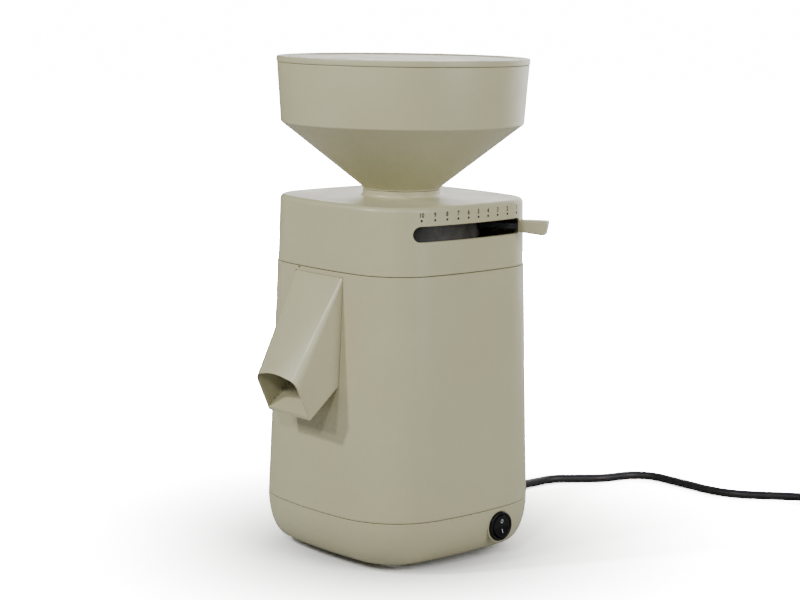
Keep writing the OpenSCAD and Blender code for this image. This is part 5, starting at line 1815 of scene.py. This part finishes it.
@dataclass
class FlourSpout:
    """The flour spout: a wide duct that narrows to a leaning mouth with a low arch."""

    sizes: MillSizes = SIZES
    throat_end: float = 63.0
    arch: float = 6.0
    shoulder: float = 8.5
    root_edge: float = 2.2
    neck_low: float = 185.3
    throat_low: float = 188.8

    @property
    def root_high(self) -> float:
        """Distance of the spout's top edge from the axis."""
        return self.sizes.wall_y(self.sizes.spout_top, self.sizes.spout_half) + 0.3

    @property
    def root_low(self) -> float:
        """Distance of the spout's foot from the axis."""
        return self.sizes.wall_y(self.sizes.spout_foot, 0) + 0.4

    def mouth(self, inset: float, out: float) -> list[Vector]:
        """Draws the mouth: 4 corner arcs, from the right foot upwards.

        Args:
            inset: Distance inside the outer edge.
            out: Distance in front of the mouth's plane.

        Returns:
            Points in millimetres.
        """
        s = self.sizes
        half, high = s.mouth_half - inset, s.mouth_height - inset
        soft = self.shoulder - inset / 2
        arch_r = (half * half + self.arch ** 2) / (2 * self.arch)
        crown = half - soft
        drop = arch_r - math.sqrt(arch_r ** 2 - crown ** 2)
        lean = math.asin(crown / arch_r)
        flat = [(half - 0.8, inset), (half - 0.2, inset + 0.25), (half, inset + 0.9)]
        flat += [(half, mix(inset + 0.9, high - soft - drop, k / 6)) for k in range(1, 6)]
        for k in range(9):
            angle = mix(0, math.pi / 2 - lean, k / 8)
            flat.append((crown + soft * math.cos(angle),
                         high - soft - drop + soft * math.sin(angle)))
        for k in range(1, 8):
            angle = mix(lean, 0, k / 8)
            flat.append((arch_r * math.sin(angle) * crown / (arch_r * math.sin(lean)),
                         high - (arch_r - math.sqrt(arch_r ** 2 - (crown * (1 - k / 8)) ** 2))))
        flat.append((0.0, high))
        mirrored = [(-x, up) for x, up in reversed(flat[:-1])]
        base = [(mix(-(half - 0.8), half - 0.8, k / 8), inset) for k in range(1, 8)]
        turn = Matrix.Translation((0, -(self.root_low + s.lip_reach), s.spout_foot - s.lip_drop)) \
            @ Matrix.Rotation(math.radians(s.mouth_lean), 4, "X")
        return [turn @ Vector((x, -out, up)) for x, up in flat + mirrored + base]

    def root(self, inset: float, depth: float) -> list[Vector]:
        """Draws the root with as many points as the mouth, corner for corner.

        Args:
            inset: Distance inside the outer edge.
            depth: Distance behind the housing's face.

        Returns:
            Points in millimetres.
        """
        s = self.sizes
        half = s.spout_half - inset
        low, high = s.spout_foot + inset, s.spout_top - inset
        soft = self.root_edge
        flat = [(half - 0.8, low), (half - 0.2, low + 0.25), (half, low + 0.9)]
        flat += [(half, mix(low + 0.9, high - soft, k / 6)) for k in range(1, 6)]
        for k in range(9):
            angle = math.pi / 2 * k / 8
            flat.append((half - soft + soft * math.cos(angle),
                         high - soft + soft * math.sin(angle)))
        flat += [((half - soft) * (1 - k / 8), high) for k in range(1, 8)]
        flat.append((0.0, high))
        mirrored = [(-x, z) for x, z in reversed(flat[:-1])]
        base = [(mix(-(half - 0.8), half - 0.8, k / 8), low) for k in range(1, 8)]
        points = []
        for x, z in flat + mirrored + base:
            share = (z - s.spout_foot) / s.spout_drop
            points.append(Vector((x, -(mix(self.root_low, self.root_high, share) - depth), z)))
        return points

    def duct(self, inset: float, out: float, depth: float) -> tuple[list[Point], Faces]:
        """Lofts from the root to the mouth.

        Args:
            inset: Distance inside the outer faces.
            out: Distance that the front end passes the mouth's plane.
            depth: Distance that the back end goes behind the housing's face.

        Returns:
            Points and faces of the closed duct.
        """
        back, front = self.root(inset, 0.0), self.mouth(inset, out)
        rings = [[tuple(p) for p in self.root(inset, depth)]]
        steps = 10
        for k in range(steps + 1):
            rings.append([tuple(a.lerp(b, k / steps)) for a, b in zip(back, front)])
        return skin(rings, closed=False)

    def build(self) -> None:
        """Makes the spout with its channel, its soft lip and the flange behind the wall."""
        s = self.sizes
        shell = soften(make_object("flour_spout_dressed", *self.duct(0.0, 0.0, 2.0),
                                   Finishes.SHELL))
        wall = s.spout_wall
        neck = self.block(s.spout_half - 0.05, [
            (self.root_high - 1.0, s.spout_top), (self.root_low - 1.0, s.spout_foot),
            (self.root_low - 7, s.spout_foot), (self.throat_end, self.neck_low),
            (self.throat_end, s.spout_top)])
        inner = s.wall + 0.3
        flange = self.block(s.spout_half + 4, [
            (s.wall_y(s.spout_top - 8, 31) - inner, s.spout_top - 8),
            (s.wall_y(s.spout_foot + 6, 31) - inner, s.spout_foot + 6),
            (s.wall_y(s.spout_foot + 6, 31) - inner - 2, s.spout_foot + 6),
            (s.wall_y(s.spout_top - 8, 31) - inner - 2, s.spout_top - 8)])
        shell = cut(shell, [neck, flange], "UNION")
        channel = soften(make_object("core", *self.duct(wall, 3.0, 0.6), Finishes.SHELL))
        throat = self.block(s.spout_half - wall, [
            (self.root_high - 0.2, s.spout_top - wall), (self.root_low - 0.2, s.spout_foot + wall),
            (self.root_low - 5, s.spout_foot + wall),
            (self.throat_end - 1, self.throat_low), (self.throat_end - 1, s.spout_top - wall)])
        shell = cut(shell, [channel, throat])
        soften(shell, 30)
        round_edges(shell, 0.35, 3, 50)
        weigh_normals(soften(shell, 38))
        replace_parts(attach(shell, "housing"), "flour_spout")
        log.info("flour spout: %d faces", len(shell.data.polygons))

    @staticmethod
    def block(half: float, drawn: Sequence[Pair]) -> Piece:
        """Makes a block from a side view.

        Args:
            half: Half of its width along X.
            drawn: Distance from the axis towards the spout, and height, of each corner.

        Returns:
            The object.
        """
        rings = [[(x, -y, z) for y, z in drawn] for x in (-half, half)]
        return soften(make_object("core", *skin(rings, closed=False), Finishes.SHELL))


# ---- Lever and scale ----


@dataclass
class LeverAndScale:
    """The lever's grip, and the printed dots and numbers over its slot."""

    repeat: RepeatRecipe
    shells: Shells
    sizes: MillSizes = SIZES
    marks: int = 10
    mark_step: float = 7.2
    dot_level: float = 257.6
    digit_level: float = 260.0
    digit_height: float = 3.3
    digit_squeeze: float = 0.86
    capital_share: float = 0.72

    def grip(self) -> Piece:
        """Makes the flat grip with soft edges, wider and higher towards its tip."""
        s = self.sizes
        stations = [(0.0, 0.55, 0.0), (0.12, 0.72, 0.05), (0.34, 0.97, 0.3), (0.6, 1.0, 0.62),
                    (0.86, 1.0, 1.0), (0.97, 0.86, 0.95), (1.0, 0.7, 0.9)]
        soft, lean = 1.6, 1.4
        rings = []
        for k, (share, wide, flare) in enumerate(stations):
            half = wide * s.grip_width / 2
            high = s.grip_height / 2 + 0.3
            low = -s.grip_height / 2 + 0.3 - s.grip_flare * flare
            inset = 1.4 * 0.3 if k in (0, len(stations) - 1) else 0.0
            half, low, high = half - inset, low + inset, high - inset
            drawn = rounded([(y, z, soft) for y, z in (
                (-half, low), (half, low), (half, high), (-half, high))], 5)
            base = s.grip_start + share * s.grip_length
            rings.append([(base - lean * flare * share * min(1.0, max(0.0, -z / 4)), y, z)
                          for y, z in drawn])
        place = Matrix.Rotation(math.radians(s.lever_angle), 4, "Z")
        place = place @ Matrix.Translation((0, 0, s.lever_z))
        points, faces = skin(rings, closed=False)
        placed = [tuple(place @ Vector(p)) for p in points]
        piece = soften(make_object("lever_grip_dressed", placed, faces, Finishes.SHELL), 60)
        round_edges(piece, 0.9, 4, 40)
        slit = box_core((s.grip_start - 1, -s.arm_width / 2 - 0.06, -s.arm_thick / 2 - 0.06),
                        (s.grip_start + 0.6 * s.grip_length + 0.2, s.arm_width / 2 + 0.06,
                         s.arm_thick / 2 + 0.06))
        place.translation *= MM
        slit.data.transform(place)
        return weigh_normals(soften(cut(piece, [slit]), 45))

    def on_wall(self, angle: float, level: float) -> tuple[Vector, Vector]:
        """Finds the point of the head's outside under an angle of the lever.

        Args:
            angle: Angle from +X in degrees.
            level: Height.

        Returns:
            The point, and the wall's outward direction there.
        """
        reach, slope = self.shells.head_reach, math.tan(math.radians(angle))
        low, high = -60.0, 60.0
        for _ in range(40):
            along = (low + high) / 2
            if along < slope * reach(along, level):
                low = along
            else:
                high = along
        step = 0.05
        gain = (reach(along + step, level) - reach(along - step, level)) / (2 * step)
        return (Vector((reach(along, level), along, level)),
                Vector((1.0, -gain, 0.03)).normalized())

    def dots(self) -> Piece:
        """Makes the ten printed dots."""
        dot = turned("core", [(0.0, -0.05), (0.95, -0.05), (0.95, 0.03), (0.88, 0.04), (0.0, 0.04)],
                     Finishes.INK, 20)
        spots = []
        for k in range(self.marks):
            angle = self.mark_step * (k - (self.marks - 1) / 2)
            spot, way = self.on_wall(angle, self.dot_level)
            spots.append((tuple(spot), tuple(way)))
        return self.repeat.repeat("scale_dots", dot, spots, Finishes.INK)

    def digits(self) -> Piece:
        """Makes the numbers 10 to 1, laid on the curved wall."""
        made = []
        for k in range(self.marks):
            font = bpy.data.curves.new("number", "FONT")
            font.body = str(self.marks - k)
            font.size = self.digit_height / self.capital_share * MM
            font.align_x = "CENTER"
            font.extrude = 0.04 * MM
            font.offset = 0.18 * MM
            font.resolution_u = 3
            holder = link("number", font)
            mesh = bpy.data.meshes.new_from_object(
                holder.evaluated_get(bpy.context.evaluated_depsgraph_get()))
            bpy.data.objects.remove(holder)
            angle = self.mark_step * (k - (self.marks - 1) / 2)
            spot, _ = self.on_wall(angle, self.digit_level)
            for corner in mesh.vertices:
                along, up, out = (c / MM for c in corner.co)
                y, z = spot.y + along * self.digit_squeeze, self.digit_level + up
                corner.co = Vector((self.shells.head_reach(y, z) + out - 0.005, y, z)) * MM
            mesh.materials.clear()
            mesh.materials.append(Finishes.INK.value.material())
            made.append(soften(link("scale_numbers", mesh), 30, 0.0005))
        return join(made)

    def build(self) -> None:
        """Makes the grip and the scale."""
        grip, dots, digits = self.grip(), self.dots(), self.digits()
        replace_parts(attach(grip, "lever"), "lever_grip")
        for piece in (dots, digits):
            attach(piece, "housing")
        log.info("lever and scale: %d marks", self.marks)


# ---- Switch ----


@dataclass
class RoundSwitch:
    """The round rocker switch with its bezel and its two printed signs."""

    sizes: MillSizes = SIZES

    @property
    def rocker_half(self) -> float:
        """Radius of the round rocker."""
        return self.sizes.bezel_radius - 2.9

    @property
    def pivot(self) -> Vector:
        """Middle of the pin that the rocker tips on."""
        return Vector((self.sizes.pad_face - 0.7, self.sizes.switch_offset, self.sizes.switch_z))

    def housing(self) -> Piece:
        """Makes the snap-in housing with its rolled bezel."""
        s = self.sizes
        shank, well = s.switch_hole_radius - 0.06, self.rocker_half + 0.4
        profile = [(0.0, -24.0), (shank - 0.8, -24.0), (shank, -23.2), (shank, 0.05)]
        profile += rounded([(s.bezel_radius, 0.05, 0.2), (s.bezel_radius, 1.1, 0.7),
                            (s.bezel_radius - 0.8, 2.0, 0.6),
                            (well + 0.3, 2.0, 0.3), (well, 1.6, 0.2)], 4)
        profile += [(well, -10.0), (0.0, -10.0)]
        piece = turned("switch_housing_dressed", profile, Finishes.SWITCH, 72,
                       along_x(s.pad_face, s.switch_offset, s.switch_z))
        cuts = [box_core((s.pad_face - 25, s.switch_offset + y - 0.4, s.switch_z - 2.4),
                         (s.pad_face - 18, s.switch_offset + y + 0.4, s.switch_z + 2.4),
                         Finishes.SWITCH) for y in (-4, 4)]
        return soften(cut(piece, cuts), 35)

    def face_height(self, up: float) -> float:
        """Height of the rocker's face over the pin: a shallow saddle.

        Args:
            up: Place over the pin.

        Returns:
            Height in millimetres.
        """
        share = min(1.0, abs(up) / (self.rocker_half - 0.9))
        return 2.9 + 1.4 * share ** 1.5

    def place(self, out: float, along: float, up: float) -> Vector:
        """Puts a point of the untipped rocker where the tipped one has it."""
        turn = Matrix.Rotation(math.radians(self.tip), 3, "Y")
        return self.pivot + turn @ Vector((out, along, up))

    @property
    def tip(self) -> float:
        """Angle of the rocker at rest, which is off: half of its travel."""
        return -0.5 * self.sizes.rocker_tip

    def rocker(self) -> Piece:
        """Makes the rocker: a round cap with a saddle face and soft edge."""
        radius, rows = self.rocker_half - 0.2, 14
        rings: list[Ring] = []
        for share, drop in ((0.02, 0), (0.2, 0), (0.4, 0), (0.6, 0), (0.75, 0), (0.88, 0),
                            (0.95, 0.06), (0.985, 0.22), (1.0, 0.5), (1.0, 2.0), (1.0, 4.0)):
            ring = []
            for k in range(rows * 4):
                angle = 2 * math.pi * k / (rows * 4)
                along, up = radius * share * math.cos(angle), radius * share * math.sin(angle)
                ring.append(tuple(self.place(max(self.face_height(up) - drop, -3.0), along, up)))
            rings.append(ring)
        last = [tuple(self.place(-3.2, radius * 0.55 * math.cos(2 * math.pi * k / (rows * 4)),
                                 radius * 0.55 * math.sin(2 * math.pi * k / (rows * 4))))
                for k in range(rows * 4)]
        points, faces = skin(rings + [last], closed=False)
        return soften(make_object("switch_rocker_dressed", points, faces, Finishes.SWITCH), 40)

    def signs(self) -> Piece:
        """Makes the ring over the bar, printed on the rocker."""
        middle = 3.7
        rings = []
        for radius in (0.95, 1.55):
            rings.append([(radius * 0.82 * math.cos(2 * math.pi * k / 28),
                           middle + radius * math.sin(2 * math.pi * k / 28))
                          for k in range(28)])
        inner, outer = rings
        points, faces = [], []
        for lift in (-0.12, 0.035):
            for y, z in inner + outer:
                points.append(tuple(self.place(self.face_height(z) + lift, y, z)))
        for k in range(28):
            nxt = (k + 1) % 28
            faces += [(56 + k, 56 + nxt, 84 + nxt, 84 + k), (k, 28 + k, 28 + nxt, nxt),
                      (28 + k, 84 + k, 84 + nxt, 28 + nxt), (k, nxt, 56 + nxt, 56 + k)]
        start = len(points)
        bar = [(-0.33, -middle - 1.5), (0.33, -middle - 1.5), (0.33, -middle + 1.5),
               (-0.33, -middle + 1.5)]
        for lift in (-0.12, 0.035):
            points += [tuple(self.place(self.face_height(z) + lift, y, z)) for y, z in bar]
        faces += [tuple(start + i for i in f) for f in BLOCK_FACES]
        return soften(make_object("switch_signs", points, faces, Finishes.PALE_INK), 40, 0.0005)

    def build(self) -> None:
        """Makes the switch."""
        housing, rocker, signs = self.housing(), self.rocker(), self.signs()
        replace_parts(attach(housing, "housing"), "switch_housing")
        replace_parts(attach(rocker, "rocker"), "switch_rocker")
        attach(signs, "rocker")
        log.info("switch: housing, rocker and signs")


# ---- Underside ----


@dataclass
class Underside:
    """Feet and screws, each kind one shape that is repeated."""

    repeat: RepeatRecipe
    sizes: MillSizes = SIZES

    def foot(self) -> Piece:
        """Makes one foot with its stem: a soft disc with a shallow ring in its sole."""
        s = self.sizes
        profile = rounded([(0, 0.35, 0), (3.2, 0.35, 0.3), (3.6, 0, 0.2),
                           (s.foot_radius - 1.2, 0, 0.9),
                           (s.foot_radius, 1.4, 1.0), (s.foot_radius - 0.4, s.foot_height, 0.3),
                           (3, s.foot_height, 0), (3, s.foot_height + 5, 0.4),
                           (2.4, s.foot_height + 6, 0.4),
                           (0, s.foot_height + 6, 0)], 4)
        return turned("core", profile, Finishes.FOOT, 48)

    @staticmethod
    def screw(radius: float, head: float, low: float, high: float) -> Piece:
        """Makes a pan-head screw that is driven upwards, with a cross recess.

        Args:
            radius: Radius of its thread.
            head: Radius of its head.
            low: Height of the head's top, which faces down.
            high: Height of its tip.

        Returns:
            The object.
        """
        thick = radius * 1.3
        piece = turned("core", rounded([(0, low, 0), (head * 0.7, low, 0.5),
                                        (head, low + thick * 0.45, 0.6),
                                        (head, low + thick, 0.2), (radius, low + thick, 0),
                                        (radius, high - 0.8, 0.3),
                                        (radius - 0.6, high, 0.2), (0, high, 0)], 3), Finishes.ZINC,
                                        32)
        arms = [box_core((-a, -b, low - 1), (a, b, low + radius * 0.7), Finishes.ZINC)
                for a, b in ((head * 0.52, radius * 0.18), (radius * 0.18, head * 0.52))]
        return soften(cut(piece, arms), 35)

    def build(self) -> None:
        """Makes the feet and the visible screws."""
        s = self.sizes
        up = (0.0, 0.0, 1.0)
        signs = ((1, 1), (-1, 1), (-1, -1), (1, -1))
        jobs = [("feet_dressed", self.foot(), "feet", Finishes.FOOT,
                 [((x * s.foot_reach, y * s.foot_reach, 0.0), up) for x, y in signs]),
                ("base_screws_dressed", self.screw(2.0, 3.6, s.base_z + 6.95 - 2.6, s.body_z + 12),
                 "base_screws", Finishes.ZINC,
                 [((x * s.boss_reach, y * s.boss_reach, 0.0), up) for x, y in signs]),
                ("plate_screws_dressed", self.screw(1.5, 2.8, s.base_z + 1.17 - 1.95, s.base_z + 8),
                 "plate_screws", Finishes.ZINC,
                 [((x * (s.plate_radius - 4), y * (s.plate_radius - 4), 0.0), up)
                  for x, y in ((1, 0), (0, 1), (-1, 0), (0, -1))])]
        for name, shape, node, finish, spots in jobs:
            piece = soften(self.repeat.repeat(name, shape, spots, finish), 35)
            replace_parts(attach(piece, "housing"), node)
            log.info("%s: %d copies", name, len(spots))


# ---- Works inside, which keep the solids' own shapes ----


@dataclass
class Works:
    """Finishes of the solids that stay as they are."""

    finishes: dict[str, Finishes] = field(default_factory=lambda: {
        "bottom_plate": Finishes.NYLON, "head_screws": Finishes.ZINC,
        "lever_arm": Finishes.PHOSPHATE,
        "lever_screw": Finishes.ZINC, "adjusting_ring": Finishes.RING, "ring_seal": Finishes.RUBBER,
        "upper_stone_carrier": Finishes.WHITE, "upper_millstone": Finishes.STONE,
        "lower_millstone": Finishes.STONE, "lower_stone_carrier": Finishes.CAST,
        "stone_washer": Finishes.ZINC, "stone_nut": Finishes.ZINC, "milling_chamber": Finishes.CAST,
        "chamber_screws": Finishes.ZINC, "shaft_seal": Finishes.RUBBER,
        "motor_shaft": Finishes.GROUND,
        "rotor": Finishes.CORE, "stator_core": Finishes.CORE, "upper_winding": Finishes.COPPER,
        "lower_winding": Finishes.COPPER, "upper_bearing": Finishes.GROUND,
        "lower_bearing": Finishes.GROUND,
        "upper_end_bell": Finishes.CAST, "lower_end_bell": Finishes.CAST,
        "motor_bolts": Finishes.ZINC,
        "rubber_mounts": Finishes.RUBBER, "mount_screws": Finishes.ZINC,
        "cooling_fan": Finishes.NYLON,
        "fan_clip": Finishes.ZINC, "capacitor": Finishes.WHITE, "capacitor_clip": Finishes.NYLON,
        "thermal_protector": Finishes.WHITE, "terminal_block": Finishes.WHITE,
        "lead_wires": Finishes.WIRE_BROWN, "switch_terminals": Finishes.BRASS})

    def build(self) -> None:
        """Puts its finish on each solid that stays."""
        for node, finish in self.finishes.items():
            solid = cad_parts[node]
            if not solid.data.materials:
                solid.data.materials.append(finish.value.material())
            for place in range(len(solid.data.materials)):
                solid.data.materials[place] = finish.value.material()
        log.info("works: %d solids dressed", len(self.finishes))


def main() -> None:
    """Builds the whole mill in order."""
    logging.basicConfig(level=logging.INFO, format="%(name)s: %(message)s")
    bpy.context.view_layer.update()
    Studio().build()
    MainsLead().build()
    turning, repeat = TurningRecipe(), RepeatRecipe()
    shells = Shells()
    shells.build()
    HopperAndLid(turning).build()
    FlourSpout().build()
    LeverAndScale(repeat, shells).build()
    RoundSwitch().build()
    Underside(repeat).build()
    Works().build()


if __name__ == "__main__":
    main()
